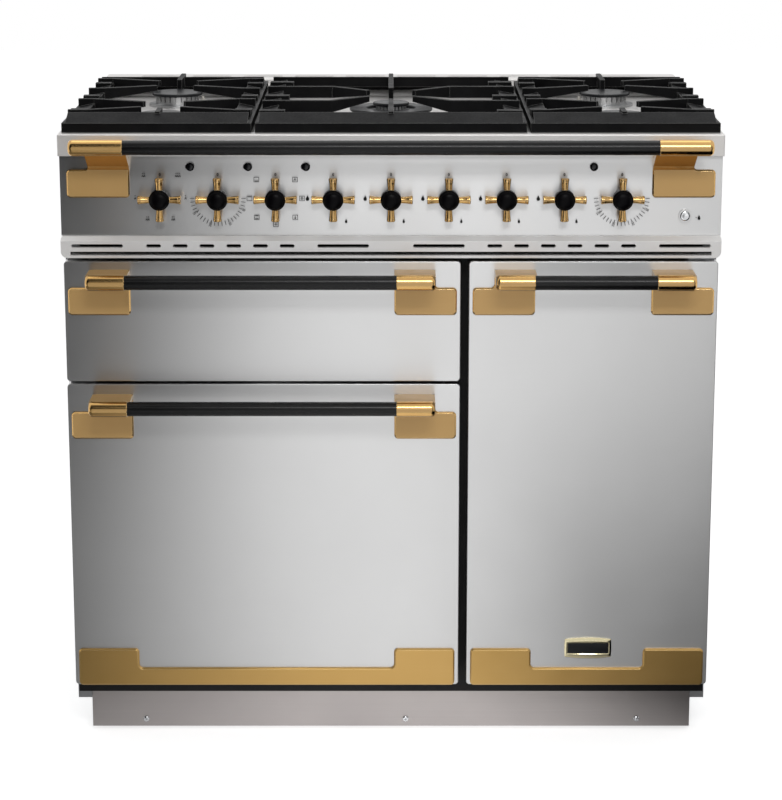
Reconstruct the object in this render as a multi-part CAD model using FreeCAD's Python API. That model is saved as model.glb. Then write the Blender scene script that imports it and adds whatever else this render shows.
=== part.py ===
import FreeCAD, Part
import math
import os

Vector = FreeCAD.Vector

# Outer sizes and the stack of fronts, from the floor up
overall_width = 900.0
body_depth = 605.0
door_bottom = 87.1
main_door_height = 437.6
row_gap = 3.7
grill_front_height = 167.9
trim_gap = 5.2
trim_height = 29.2
panel_height = 109.7
lip_height = 29.6
pan_top_rise = 25.0

# Clearances
fit_gap = 0.05
seat_gap = 0.3
slot_gap = 0.4
hole_gap = 1.0
overrun = 1.0
same_place = 0.01

# Carcass sheet
sheet = 1.5
side_inset = 2.0
side_bottom = 52.0
side_flange = 18.0
base_level = 62.0
base_sheet = 2.0
base_skirt = 10.0
rear_cover_inset = 15.0
frame_face_depth = 40.0
frame_bottom = 62.0
frame_side_inset = 3.5
louvre_width = 70.0
louvre_height = 5.0
louvre_pitch = 22.0
louvre_rows = 6
louvre_low = 300.0
cable_hole_radius = 11.0
cable_hole_side = 300.0
cable_hole_level = 140.0

# Feet and plinth
foot_radius = 20.0
foot_height = 10.0
foot_stud_radius = 6.0
foot_stud_top = 80.0
foot_inset = 50.0
foot_front = 95.0
foot_rear = 545.0
plinth_inset = 21.0
plinth_bottom = 7.0
plinth_depth = 45.0
plinth_return = 20.0
plinth_screw_sides = (-352.0, 21.0, 353.0)
plinth_screw_level = 18.0
plinth_screw_radius = 2.0
plinth_screw_head = 4.5
plinth_screw_head_rise = 2.0
plinth_screw_length = 8.0
tab_width = 24.0
tab_bottom = 11.0

# Doors and the grill front
door_inset = 4.2
left_column_width = 540.9
column_gap = 11.1
door_corner = 5.0
door_edge_round = 1.2
door_pan_depth = 26.0
liner_depth = 8.0
liner_raise_inset = 36.0

# Hinges
hinge_inset = 12.0
hinge_depth = 20.0
hinge_pin_radius = 4.0
hinge_pin_length = 15.0
hinge_plate = 2.0
hinge_plate_gap = 0.5
hinge_plate_margin = 8.0
hinge_tongue_inset = 17.9
hinge_tongue_width = 22.0
hinge_flange_height = 12.0

# Handles
handle_plate_width = 85.3
handle_plate_height = 38.0
handle_stem_width = 55.6
handle_stem_height = 25.0
handle_plate = 4.0
handle_corner = 5.5
handle_bevel = 2.0
handle_inset = 5.2
upper_handle_drop = 11.3
main_handle_drop = 14.4
handle_axis_drop = 8.5
handle_standoff = 50.0
bar_radius = 9.8
ferrule_radius = 11.0
ferrule_length = 53.0
ferrule_dome = 6.0
mouth_bevel = 0.6
mouth_inset = 2.6
socket_depth = 36.0
shelf_thickness = 6.0
shelf_round = 5.0

# Front rail
rail_plate_side = 439.0
rail_plate_top = 821.1
rail_level = 859.0
rail_ferrule_length = 72.5

# Kick plates
kick_side_inset = 5.5
kick_lobe_width = 85.3
kick_lobe_height = 54.0
kick_strip_height = 25.6
kick_sheet = 4.0

# Oven cavities
cavity_side_inset = 45.8
cavity_low_inset = 35.0
main_cavity_top_inset = 32.0
grill_low_inset = 17.0
grill_top_inset = 13.0
tall_cavity_side_inset = 44.0
cavity_depth = 475.0
grill_depth = 440.0
cavity_flange = 12.0
ledge_width = 9.0
ledge_thickness = 2.0
main_ledge_levels = (180.0, 250.0, 330.0, 410.0)
tall_ledge_levels = (190.0, 290.0, 390.0, 490.0, 590.0)
ledge_front = 20.0
seal_width = 8.0
seal_offset = 6.0

# Fans
fan_cover_depth = 40.0
fan_cover_margin = 12.0
fan_cover_sheet = 1.2
fan_cover_hole_radius = 5.0
fan_cover_rings = (18.0, 36.0, 54.0)
fan_cover_ring_counts = (6, 12, 18)
fan_slot_height = 18.0
fan_slot_margin = 25.0
fan_radius = 70.0
fan_disc = 1.2
fan_blade_height = 22.0
fan_blade_length = 22.0
fan_blades = 14
fan_hub_radius = 9.0
fan_wall_gap = 8.0
fan_shaft_radius = 3.0
fan_shaft_hole = 7.0
motor_radius = 34.0
motor_length = 36.0
motor_plate = 90.0
motor_plate_thickness = 2.0

# Heating elements
element_radius = 3.3
element_leg_radius = 2.8
ring_element_radius = 84.0
element_leg = 20.0
grill_element_rows = 4
grill_element_pitch = 82.0
grill_element_drop = 16.0
grill_element_front = 60.0
grill_element_rear = 80.0

# Racks
rack_rod = 2.6
rack_side_rod = 2.2
rack_wire = 1.5
rack_side_gap = 2.0
rack_front = 10.0
rack_wires = 13
main_rack_rows = (0, 2)
tall_rack_rows = (0, 2)

# Grill pan carriage
runner_drop = 62.0
runner_thickness = 2.0
fixed_runner_width = 14.0
runner_front = 3.0
runner_side_gap = 2.0
moving_runner_width = 22.0
moving_runner_rise = 14.0
moving_runner_length = 380.0
pan_rim = 18.0
pan_sheet = 1.5
pan_depth = 34.0
pan_front_gap = 14.0
pan_length = 300.0
trivet_rise = 20.0
trivet_margin = 8.0
trivet_wires = 15

# Hotplate
hob_sheet = 2.0
hob_well = 8.0
hob_rim_side = 12.0
hob_rim_front = 24.0
hob_rim_rear = 115.0
hob_corner = 3.0
vent_front = 540.0
vent_rear = 602.0
vent_rise = 12.0
vent_slot_length = 60.0
vent_slot_width = 6.0
vent_slot_pitch = 80.0
vent_slots = 10

# Burners
burner_inset = 132.0
front_burner = 128.0
rear_burner = 372.0
centre_burner = 250.0
burner_cap_radius = 37.0
burner_cap_height = 4.5
burner_flange_radius = 42.0
burner_flange = 3.0
burner_head_height = 12.4
burner_head_radius = 32.0
burner_stem_radius = 28.0
burner_stem_length = 16.0
burner_ports = 24
port_width = 2.0
port_depth = 5.0
wok_head_radius = 56.0
wok_cap_radius = 59.5
wok_inner_radius = 36.0
wok_core_radius = 22.0
wok_core_cap_radius = 26.0
wok_ring_height = 5.0
wok_core_height = 13.0
electrode_radius = 2.0
electrode_collar = 4.0
electrode_height = 9.0
electrode_out = 8.0

# Pan supports
grate_front = 16.0
grate_rear = 498.0
grate_side_inset = 4.7
grate_side_width = 256.5
grate_gap = 4.8
grate_face = 13.0
grate_band = 35.0
grate_band_rise = 5.5
grate_side_band = 26.0
grate_wall = 5.0
grate_ridge_rise = 10.5
grate_ridge_end = 5.0
finger_end_gap = 3.0
finger_width = 7.0
finger_depth = 17.0
finger_tip_depth = 8.0
finger_tip_out = 28.0
finger_root_in = 60.0
rib_width = 14.0
rib_height = 3.0
rib_inset = 3.0
centre_finger_row = 82.0
centre_finger_bend = 85.0
centre_tip_out = 33.0
centre_tip_row = 34.0
centre_rib_reach = 12.0

# Control panel
fascia_depth = 8.0
fascia_inset = 1.6
fascia_flange = 30.0
knob_level = 782.0
knob_pitch = 78.2
knob_count = 9
spindle_radius = 4.0
spindle_hole = 6.0
spindle_length = 22.0
knob_hub_radius = 14.0
knob_projection = 26.0
knob_back_gap = 1.0
knob_edge = 2.0
spoke_level = 13.0
spoke_reach = 29.3
spoke_root_radius = 4.6
spoke_tip_radius = 5.8
spoke_collar = 3.0
spoke_collar_rise = 0.5
control_body_width = 36.0
control_body_depth = 40.0
lamp_radius = 5.5
lamp_body_radius = 4.5
lamp_rise = 1.5
lamp_length = 16.0
lamp_level = 825.0
lamp_knobs = (0, 1, 2, 8)
button_inset = 50.8
button_level = 757.8
button_radius = 6.5
button_rise = 4.0
button_plunger_radius = 3.0
button_plunger_length = 14.0
button_travel = 3.0
bezel_radius = 8.9
bezel_rise = 2.5
spark_switch_width = 20.0

# Vent trim
trim_front = -4.0
trim_depth = 30.0
trim_end_round = 9.0
trim_bevel = 6.0
trim_lip = 3.6
trim_groove = 5.2
trim_groove_inset = 13.0
slot_level = 718.2
slot_height = 4.8
long_slot = 70.0
short_slot = 20.0
short_slot_pitch = 36.3
short_slots = 6
outer_slot_start = 433.9
short_slot_start = 332.4
inner_slot_start = 100.0

# Gas supply
manifold_radius = 9.0
saddle_width = 20.0
first_gas_knob = 3
last_gas_knob = 7
manifold_side = 362.0
gas_pipe_radius = 9.0
inlet_radius = 10.48
inlet_length = 11.0

# Places worked out from the sizes above
half_width = overall_width / 2
foot_side = half_width - foot_inset
burner_side = half_width - burner_inset
front_reach = handle_standoff + ferrule_radius
front_y = front_reach - (body_depth + front_reach) / 2
main_door_top = door_bottom + main_door_height
grill_front_low = main_door_top + row_gap
fronts_top = grill_front_low + grill_front_height
trim_low = fronts_top + trim_gap
trim_top = trim_low + trim_height
panel_top = trim_top + panel_height
hob_top = panel_top + lip_height
grate_top = hob_top + pan_top_rise
left_edge = -half_width + door_inset
left_column_end = left_edge + left_column_width
right_edge = half_width - door_inset
right_column_start = left_column_end + column_gap
side_outer = half_width - side_inset
button_side = half_width - button_inset
side_inner = side_outer - sheet
hob_floor = hob_top - hob_well
hob_under = hob_floor - hob_sheet
frame_back_depth = frame_face_depth + sheet
liner_back_depth = door_pan_depth + liner_depth
rear_depth = body_depth - rear_cover_inset
knob_sides = [(index - (knob_count - 1) / 2) * knob_pitch for index in range(knob_count)]
knob_back_depth = fascia_depth - knob_back_gap
fascia_back_depth = fascia_depth + sheet
hinge_axis_left = left_edge + hinge_inset
hinge_axis_right = right_edge - hinge_inset
main_cavity = (left_edge + cavity_side_inset, left_column_end - cavity_side_inset,
               door_bottom + cavity_low_inset, main_door_top - main_cavity_top_inset)
grill_cavity = (main_cavity[0], main_cavity[1],
                grill_front_low + grill_low_inset, fronts_top - grill_top_inset)
tall_cavity = (right_column_start + tall_cavity_side_inset, right_edge - tall_cavity_side_inset,
               door_bottom + cavity_low_inset, fronts_top - main_cavity_top_inset)
runner_level = grill_cavity[3] - runner_drop
grate_low = hob_top + seat_gap


def back(depth):
    return front_y + depth


def box(x0, x1, d0, d1, z0, z1):
    return Part.makeBox(x1 - x0, d1 - d0, z1 - z0, Vector(x0, back(d0), z0))


def rod_x(radius, x0, x1, depth, z):
    return Part.makeCylinder(radius, x1 - x0, Vector(x0, back(depth), z), Vector(1, 0, 0))


def rod_y(radius, x, d0, d1, z):
    return Part.makeCylinder(radius, d1 - d0, Vector(x, back(d0), z), Vector(0, 1, 0))


def rod_z(radius, x, depth, z0, z1):
    return Part.makeCylinder(radius, z1 - z0, Vector(x, back(depth), z0))


def joined(shapes):
    first = shapes[0]
    if len(shapes) == 1:
        return first
    return first.multiFuse(shapes[1:]).removeSplitter()


def rounded_wire(points, radii):
    """Closed wire through 3-D points in one plane, with each corner rounded by its radius."""
    edges = []
    count = len(points)
    ends = []
    for index, corner in enumerate(points):
        radius = radii[index]
        if radius <= 0:
            ends.append((corner, corner))
            continue
        to_last = (points[index - 1] - corner).normalize()
        to_next = (points[(index + 1) % count] - corner).normalize()
        half_angle = to_last.getAngle(to_next) / 2
        reach = radius / math.tan(half_angle)
        start = corner + to_last * reach
        finish = corner + to_next * reach
        bisector = (to_last + to_next).normalize()
        middle = corner + bisector * (radius / math.sin(half_angle) - radius)
        edges.append(Part.Arc(start, middle, finish).toShape())
        ends.append((start, finish))
    for index in range(count):
        start = ends[index][1]
        finish = ends[(index + 1) % count][0]
        if start.distanceToPoint(finish) > same_place:
            edges.append(Part.LineSegment(start, finish).toShape())
    return Part.Wire(Part.__sortEdges__(edges))


def slab_y(outline, radii, d0, d1):
    """Outline in X and Z, thickened along the depth."""
    points = [Vector(x, back(d0), z) for x, z in outline]
    return Part.Face(rounded_wire(points, radii)).extrude(Vector(0, d1 - d0, 0))


def slab_x(outline, radii, x0, x1):
    """Outline in depth and Z, thickened along X."""
    points = [Vector(x0, back(depth), z) for depth, z in outline]
    return Part.Face(rounded_wire(points, radii)).extrude(Vector(x1 - x0, 0, 0))


def slab_z(outline, radii, z0, z1):
    """Outline in X and depth, thickened along Z."""
    points = [Vector(x, back(depth), z0) for x, depth in outline]
    return Part.Face(rounded_wire(points, radii)).extrude(Vector(0, 0, z1 - z0))


def round_box_y(x0, x1, d0, d1, z0, z1, radius):
    return slab_y([(x0, z0), (x1, z0), (x1, z1), (x0, z1)], [radius] * 4, d0, d1)


def slot_y(x0, x1, z, height, d0, d1):
    """Round-ended slot cutter along X, cut through the depth."""
    radius = height / 2
    middle = box(x0 + radius, x1 - radius, d0, d1, z - radius, z + radius)
    return joined([middle, rod_y(radius, x0 + radius, d0, d1, z), rod_y(radius, x1 - radius, d0, d1, z)])


def edges_at_depth(shape, depth):
    found = []
    for edge in shape.Edges:
        if all(abs(vertex.Y - back(depth)) < same_place for vertex in edge.Vertexes):
            found.append(edge)
    return found


def loft(low_rect, low_z, high_rect, high_z):
    """Solid between two rectangles (x0, x1, d0, d1) at two levels."""
    wires = []
    for rect, z in ((low_rect, low_z), (high_rect, high_z)):
        x0, x1, d0, d1 = rect
        corners = [(x0, d0), (x1, d0), (x1, d1), (x0, d1)]
        points = [Vector(x, back(depth), z) for x, depth in corners]
        wires.append(Part.makePolygon(points + points[:1]))
    return Part.makeLoft(wires, True, True)


def inset_rect(rect, side, front=None):
    front = side if front is None else front
    return (rect[0] + side, rect[1] - side, rect[2] + front, rect[3] - front)


# Carcass

def base_frame():
    tab_depth = plinth_depth + sheet
    floor = box(-side_inner, side_inner, tab_depth, rear_depth - sheet, base_level, base_level + base_sheet)
    skirt = box(-side_inner, side_inner, tab_depth, rear_depth - sheet, base_level - base_skirt, base_level)
    hollow = box(-side_inner + base_sheet, side_inner - base_sheet, tab_depth + base_sheet,
                 rear_depth - sheet - base_sheet, base_level - base_skirt - overrun, base_level)
    parts = [floor, skirt.cut(hollow)]
    for side in plinth_screw_sides:
        tab = box(side - tab_width / 2, side + tab_width / 2, tab_depth, tab_depth + base_sheet,
                  tab_bottom, base_level + base_sheet)
        parts.append(tab.cut(rod_y(plinth_screw_radius, side, tab_depth - overrun,
                                   tab_depth + base_sheet + overrun, plinth_screw_level)))
    frame = joined(parts)
    for side in (-foot_side, foot_side):
        for depth in (foot_front, foot_rear):
            frame = frame.cut(rod_z(foot_stud_radius + fit_gap, side, depth,
                                    base_level - overrun, base_level + base_sheet + overrun))
    return frame


def side_panel(sign):
    def span(inner, outer):
        return (inner, outer) if sign > 0 else (-outer, -inner)

    wall = span(side_inner, side_outer)
    flange = span(side_inner - side_flange, side_inner)
    panel = box(*wall, frame_back_depth, rear_depth, side_bottom, hob_under)
    front = box(*flange, frame_back_depth, frame_back_depth + sheet, side_bottom, hob_under)
    rear = box(*flange, rear_depth - sheet, rear_depth, side_bottom, hob_under)
    return joined([panel, front, rear])


def rear_cover():
    cover = box(-side_inner, side_inner, rear_depth, rear_depth + sheet, base_level, hob_under)
    cutters = []
    for row in range(louvre_rows):
        level = louvre_low + row * louvre_pitch
        for side in (-half_width / 2, 0, half_width / 2):
            cutters.append(slot_y(side - louvre_width / 2, side + louvre_width / 2, level, louvre_height,
                                  rear_depth - overrun, rear_depth + sheet + overrun))
    cutters.append(rod_y(cable_hole_radius, cable_hole_side, rear_depth - overrun,
                         rear_depth + sheet + overrun, cable_hole_level))
    cutters.append(rod_y(gas_pipe_radius + hole_gap, manifold_side, rear_depth - overrun,
                         rear_depth + sheet + overrun, manifold_level))
    return cover.cut(Part.makeCompound(cutters))


def hinge_tongues():
    """Place of each hinge plate: axis, inner direction, lower face of the plate and side of the pin."""
    main_top = main_door_top + hinge_plate_gap
    door_low = door_bottom - hinge_plate_gap - hinge_plate
    tall_top = fronts_top + hinge_plate_gap
    return ((hinge_axis_left, 1, main_top, -1), (hinge_axis_left, 1, door_low, 1),
            (hinge_axis_right, -1, tall_top, -1), (hinge_axis_right, -1, door_low, 1))


def tongue_span(axis, inward, grow):
    near = axis + inward * (hinge_tongue_inset - hinge_inset - grow)
    far = axis + inward * (hinge_tongue_inset - hinge_inset + hinge_tongue_width + grow)
    return (min(near, far), max(near, far))


def front_frame():
    frame = box(-half_width + frame_side_inset, half_width - frame_side_inset, frame_face_depth,
                frame_back_depth, frame_bottom, trim_low)
    cutters = []
    for x0, x1, z0, z1 in (main_cavity, grill_cavity, tall_cavity):
        cutters.append(box(x0, x1, frame_face_depth - overrun, frame_back_depth + overrun, z0, z1))
    for axis, inward, low, _ in hinge_tongues():
        cutters.append(box(*tongue_span(axis, inward, slot_gap), frame_face_depth - overrun,
                           frame_back_depth + overrun, low - slot_gap, low + hinge_plate + slot_gap))
    return frame.cut(Part.makeCompound(cutters))


def hinge_brackets():
    brackets = []
    for axis, inward, low, pin_side in hinge_tongues():
        outer = axis - inward * hinge_plate_margin
        x0, x1 = tongue_span(axis, inward, 0)
        inner = x1 if inward > 0 else x0
        plate = box(min(outer, inner), max(outer, inner), hinge_depth - hinge_plate_margin,
                    frame_face_depth, low, low + hinge_plate)
        tongue = box(x0, x1, frame_face_depth, frame_back_depth + hinge_plate, low, low + hinge_plate)
        middle = low + hinge_plate / 2
        flange = box(x0, x1, frame_back_depth, frame_back_depth + hinge_plate,
                     middle - hinge_flange_height / 2, middle + hinge_flange_height / 2)
        reach = hinge_plate_gap + hinge_pin_length
        start = low + hinge_plate if pin_side > 0 else low - reach
        brackets.append(joined([plate, tongue, flange,
                                rod_z(hinge_pin_radius, axis, hinge_depth, start, start + reach)]))
    return brackets


def levelling_feet():
    feet = []
    for side in (-foot_side, foot_side):
        for depth in (foot_front, foot_rear):
            pad = rod_z(foot_radius, side, depth, 0, foot_height)
            pad = pad.makeChamfer(foot_height / 4, [edge for edge in pad.Edges if edge.BoundBox.ZMin > 0])
            stud = rod_z(foot_stud_radius, side, depth, foot_height / 2, foot_stud_top)
            nut = rod_z(foot_stud_radius * 2, side, depth, base_level - foot_height, base_level)
            feet.append(joined([pad, stud, nut]))
    return feet


def plinth():
    half = half_width - plinth_inset
    face = box(-half, half, plinth_depth, plinth_depth + sheet, plinth_bottom, base_level)
    parts = [face]
    for x0 in (-half, half - sheet):
        parts.append(box(x0, x0 + sheet, plinth_depth, plinth_depth + plinth_return,
                         plinth_bottom, side_bottom - slot_gap))
    foot_fold = box(-half, half, plinth_depth, plinth_depth + plinth_return, plinth_bottom,
                    plinth_bottom + sheet)
    board = joined(parts + [foot_fold])
    for side in plinth_screw_sides:
        board = board.cut(rod_y(plinth_screw_radius + fit_gap, side, plinth_depth - overrun,
                                plinth_depth + sheet + overrun, plinth_screw_level))
    return board


def plinth_screws():
    screws = []
    for side in plinth_screw_sides:
        head = rod_y(plinth_screw_head, side, plinth_depth - plinth_screw_head_rise, plinth_depth,
                     plinth_screw_level)
        head = head.makeFillet(plinth_screw_head_rise / 2,
                               edges_at_depth(head, plinth_depth - plinth_screw_head_rise))
        shank = rod_y(plinth_screw_radius - fit_gap, side, plinth_depth - plinth_screw_head_rise / 2,
                      plinth_depth + plinth_screw_length, plinth_screw_level)
        screws.append(joined([head, shank]))
    return screws


# Oven cavities and what they hold

def rect_box(rect, d0, d1, grow=0):
    x0, x1, z0, z1 = rect
    return box(x0 - grow, x1 + grow, d0, d1, z0 - grow, z1 + grow)


def cavity(rect, depth):
    rear = frame_back_depth + depth
    shell = rect_box(rect, frame_back_depth, rear + sheet, sheet)
    flange = rect_box(rect, frame_back_depth, frame_back_depth + sheet, cavity_flange)
    return joined([shell, flange]).cut(rect_box(rect, frame_back_depth - overrun, rear))


def fan_centre(rect):
    return ((rect[0] + rect[1]) / 2, (rect[2] + rect[3]) / 2)


def oven_cavity(rect, levels):
    shell = cavity(rect, cavity_depth)
    x0, x1 = rect[0], rect[1]
    front = frame_back_depth + ledge_front
    rear = frame_back_depth + cavity_depth - fan_cover_depth - overrun
    ledges = []
    for level in levels:
        ledges.append(box(x0, x0 + ledge_width, front, rear, level, level + ledge_thickness))
        ledges.append(box(x1 - ledge_width, x1, front, rear, level, level + ledge_thickness))
    shell = joined([shell] + ledges)
    x, z = fan_centre(rect)
    wall = frame_back_depth + cavity_depth
    cutters = [rod_y(fan_shaft_hole, x, wall - overrun, wall + sheet + overrun, z)]
    for side in (-1, 1):
        cutters.append(rod_y(element_leg_radius + fit_gap, x + side * ring_element_radius,
                             wall - overrun, wall + sheet + overrun, z))
    return shell.cut(Part.makeCompound(cutters))


def grill_chamber():
    shell = cavity(grill_cavity, grill_depth)
    x0, x1 = grill_cavity[0], grill_cavity[1]
    front = frame_back_depth + runner_front
    rear = frame_back_depth + grill_depth
    low = runner_level - runner_thickness - seat_gap
    runners = []
    for start in (x0, x1 - fixed_runner_width):
        runners.append(box(start, start + fixed_runner_width, front, rear, low, low + runner_thickness))
    shell = joined([shell] + runners)
    for side in grill_element_ends():
        shell = shell.cut(rod_y(element_radius + fit_gap, side, rear - overrun, rear + sheet + overrun,
                                grill_element_level))
    return shell


def cover_depths():
    wall = frame_back_depth + cavity_depth
    return (wall - fan_cover_depth, wall)


def fan_cover(rect):
    front, wall = cover_depths()
    x0, x1, z0, z1 = rect
    x, z = fan_centre(rect)
    outer = (x0 + fan_cover_margin, x1 - fan_cover_margin, z0 + fan_cover_margin, z1 - fan_cover_margin)
    cover = rect_box(outer, front, wall)
    cover = cover.cut(rect_box(outer, front + fan_cover_sheet, wall + overrun, -fan_cover_sheet))
    cutters = []
    for radius, count in zip(fan_cover_rings, fan_cover_ring_counts):
        for index in range(count):
            angle = 2 * math.pi * index / count
            cutters.append(rod_y(fan_cover_hole_radius, x + radius * math.cos(angle), front - overrun,
                                 front + fan_cover_sheet + overrun, z + radius * math.sin(angle)))
    for level in (outer[2] - overrun, outer[3] - fan_cover_sheet - overrun):
        cutters.append(box(outer[0] + fan_slot_margin, outer[1] - fan_slot_margin,
                           wall - fan_slot_height - fan_cover_sheet, wall - fan_cover_sheet,
                           level, level + fan_cover_sheet + 2 * overrun))
    return cover.cut(Part.makeCompound(cutters))


def fan(rect):
    x, z = fan_centre(rect)
    wall = frame_back_depth + cavity_depth
    disc_rear = wall - fan_wall_gap
    disc = rod_y(fan_radius, x, disc_rear - fan_disc, disc_rear, z)
    hub = rod_y(fan_hub_radius, x, disc_rear - fan_blade_height, disc_rear, z)
    shaft = rod_y(fan_shaft_radius, x, disc_rear - fan_disc, wall + sheet + motor_plate_thickness +
                  motor_length / 2, z)
    parts = [disc, hub, shaft]
    blade = box(x + fan_radius - fan_blade_length, x + fan_radius - overrun,
                disc_rear - fan_blade_height, disc_rear, z - fan_disc / 2, z + fan_disc / 2)
    for index in range(fan_blades):
        turned = blade.copy()
        turned.rotate(Vector(x, 0, z), Vector(0, 1, 0), index * 360 / fan_blades)
        parts.append(turned)
    return joined(parts)


def fan_motor(rect):
    x, z = fan_centre(rect)
    start = frame_back_depth + cavity_depth + sheet
    half = motor_plate / 2
    plate = box(x - half, x + half, start, start + motor_plate_thickness, z - half, z + half)
    can = rod_y(motor_radius, x, start, start + motor_plate_thickness + motor_length, z)
    bore = rod_y(fan_shaft_radius + fit_gap, x, start - overrun,
                 start + motor_plate_thickness + motor_length / 2 + hole_gap, z)
    return joined([plate, can]).cut(bore)


def ring_element(rect):
    x, z = fan_centre(rect)
    wall = frame_back_depth + cavity_depth
    middle = wall - fan_cover_depth / 2
    ring = Part.makeTorus(ring_element_radius, element_radius, Vector(x, back(middle), z), Vector(0, 1, 0))
    for side in (-1, 1):
        ring = ring.fuse(rod_y(element_leg_radius, x + side * ring_element_radius, middle,
                               wall + element_leg, z))
    return ring


grill_element_level = grill_cavity[3] - grill_element_drop
grill_middle = (grill_cavity[0] + grill_cavity[1]) / 2
element_rows = [grill_middle + (index - (grill_element_rows - 1) / 2) * grill_element_pitch
                for index in range(grill_element_rows)]


def grill_element_ends():
    return (element_rows[0], element_rows[-1])


def grill_element():
    front = frame_back_depth + grill_element_front
    rear = frame_back_depth + grill_depth - grill_element_rear
    wall = frame_back_depth + grill_depth
    bend = grill_element_pitch / 2
    parts = []
    for index, side in enumerate(element_rows):
        end = wall + element_leg if side in grill_element_ends() else rear - bend
        parts.append(rod_y(element_radius, side, front + bend, end, grill_element_level))
        if index + 1 == grill_element_rows:
            continue
        turn_front = index % 2 == 0
        turn_depth = front + bend if turn_front else rear - bend
        middle = Vector(side + bend, back(turn_depth), grill_element_level)
        turn = Part.makeTorus(bend, element_radius, middle)
        reach = bend + 2 * element_radius
        near, far = (turn_depth - reach, turn_depth) if turn_front else (turn_depth, turn_depth + reach)
        keep = box(side - reach, side + bend + reach, near, far,
                   grill_element_level - reach, grill_element_level + reach)
        parts.append(turn.common(keep))
    return joined(parts)


def wire_rack(x0, x1, d0, d1, z, wires):
    """Rod frame with thin wires from front to rear."""
    rack = rod_x(rack_rod, x0, x1, d0 + rack_rod, z).fuse(rod_x(rack_rod, x0, x1, d1 - rack_rod, z))
    pitch = (x1 - x0 - 2 * rack_rod) / (wires + 1)
    for index in range(wires + 2):
        radius = rack_wire if 0 < index < wires + 1 else rack_side_rod
        rack = rack.fuse(rod_y(radius, x0 + rack_rod + index * pitch, d0 + rack_rod, d1 - rack_rod, z))
    return rack


def rack_spans(rect, levels, rows):
    front = frame_back_depth + ledge_front
    rear = cover_depths()[0] - rack_front
    spans = []
    for row in rows:
        level = levels[row] + ledge_thickness + rack_rod
        spans.append((rect[0] + rack_side_gap, rect[1] - rack_side_gap, front, rear, level))
    return spans


def oven_racks():
    racks = []
    for rect, levels, rows in ((main_cavity, main_ledge_levels, main_rack_rows),
                               (tall_cavity, tall_ledge_levels, tall_rack_rows)):
        for x0, x1, d0, d1, z in rack_spans(rect, levels, rows):
            racks.append(wire_rack(x0, x1, d0, d1, z, rack_wires))
    return racks


def door_seals():
    seals = []
    for rect in (main_cavity, tall_cavity):
        outer = rect_box(rect, liner_back_depth + seat_gap, frame_face_depth, seal_offset + seal_width)
        hole = rect_box(rect, liner_back_depth, frame_face_depth + overrun, seal_offset)
        seals.append(outer.cut(hole))
    return seals


# Doors and the grill front

def front_panel(x0, x1, z0, z1):
    pan = round_box_y(x0, x1, 0, door_pan_depth, z0, z1, door_corner)
    pan = pan.makeFillet(door_edge_round, edges_at_depth(pan, 0))
    hollow = round_box_y(x0 + sheet, x1 - sheet, sheet, door_pan_depth + overrun,
                         z0 + sheet, z1 - sheet, door_corner - sheet)
    return pan.cut(hollow)


def hinged_panel(x0, x1, z0, z1, axis):
    holes = rod_z(hinge_pin_radius + fit_gap, axis, hinge_depth, z0 - overrun, z1 + overrun)
    return front_panel(x0, x1, z0, z1).cut(holes)


def liner(x0, x1, z0, z1):
    """Back plate that closes the outer panel, with a raised middle that meets the seal."""
    plate = round_box_y(x0 + sheet, x1 - sheet, door_pan_depth - sheet, door_pan_depth,
                        z0 + sheet, z1 - sheet, door_corner)
    inset = liner_raise_inset
    raised = box(x0 + inset, x1 - inset, door_pan_depth - sheet, liner_back_depth, z0 + inset, z1 - inset)
    hollow = box(x0 + inset + sheet, x1 - inset - sheet, door_pan_depth - sheet - overrun,
                 liner_back_depth - sheet, z0 + inset + sheet, z1 - inset - sheet)
    return joined([plate, raised]).cut(hollow)


def handle_plate_outline(x0, top, stem_right):
    """L-shaped plate with its stem above the right or the left end."""
    low = top - handle_stem_height - handle_plate_height
    step = top - handle_stem_height
    x1 = x0 + handle_plate_width
    if stem_right:
        stem = x1 - handle_stem_width
        return [(x0, low), (x1, low), (x1, top), (stem, top), (stem, step), (x0, step)]
    stem = x0 + handle_stem_width
    return [(x0, low), (x1, low), (x1, step), (stem, step), (stem, top), (x0, top)]


def bevelled_plate(outline, front, rear):
    plate = slab_y(outline, [handle_corner] * len(outline), front, rear)
    return plate.makeChamfer(handle_bevel, edges_at_depth(plate, front))


def ferrule(x_inner, direction, length, depth, z):
    """Round socket with a domed outer end and a bevelled mouth."""
    x_outer = x_inner + direction * length
    tube = rod_x(ferrule_radius, min(x_inner, x_outer), max(x_inner, x_outer), depth, z)
    ends = [edge for edge in tube.Edges if abs(edge.CenterOfMass.x - x_outer) < same_place]
    tube = tube.makeFillet(ferrule_dome, ends)
    mouth = [edge for edge in tube.Edges if abs(edge.CenterOfMass.x - x_inner) < same_place]
    return tube.makeChamfer(mouth_bevel, mouth)


def socket(x_inner, direction, depth, z):
    x_end = x_inner + direction * (socket_depth + seat_gap)
    x_mouth = x_inner - direction * (mouth_inset + overrun)
    return rod_x(bar_radius + fit_gap, min(x_mouth, x_end), max(x_mouth, x_end), depth, z)


def handle_stems(x0, x1):
    left = x0 + handle_inset + handle_plate_width
    right = x1 - handle_inset - handle_plate_width
    return ((left - mouth_inset, -1), (right + mouth_inset, 1))


def handle_axis(top):
    return top - handle_axis_drop


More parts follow.
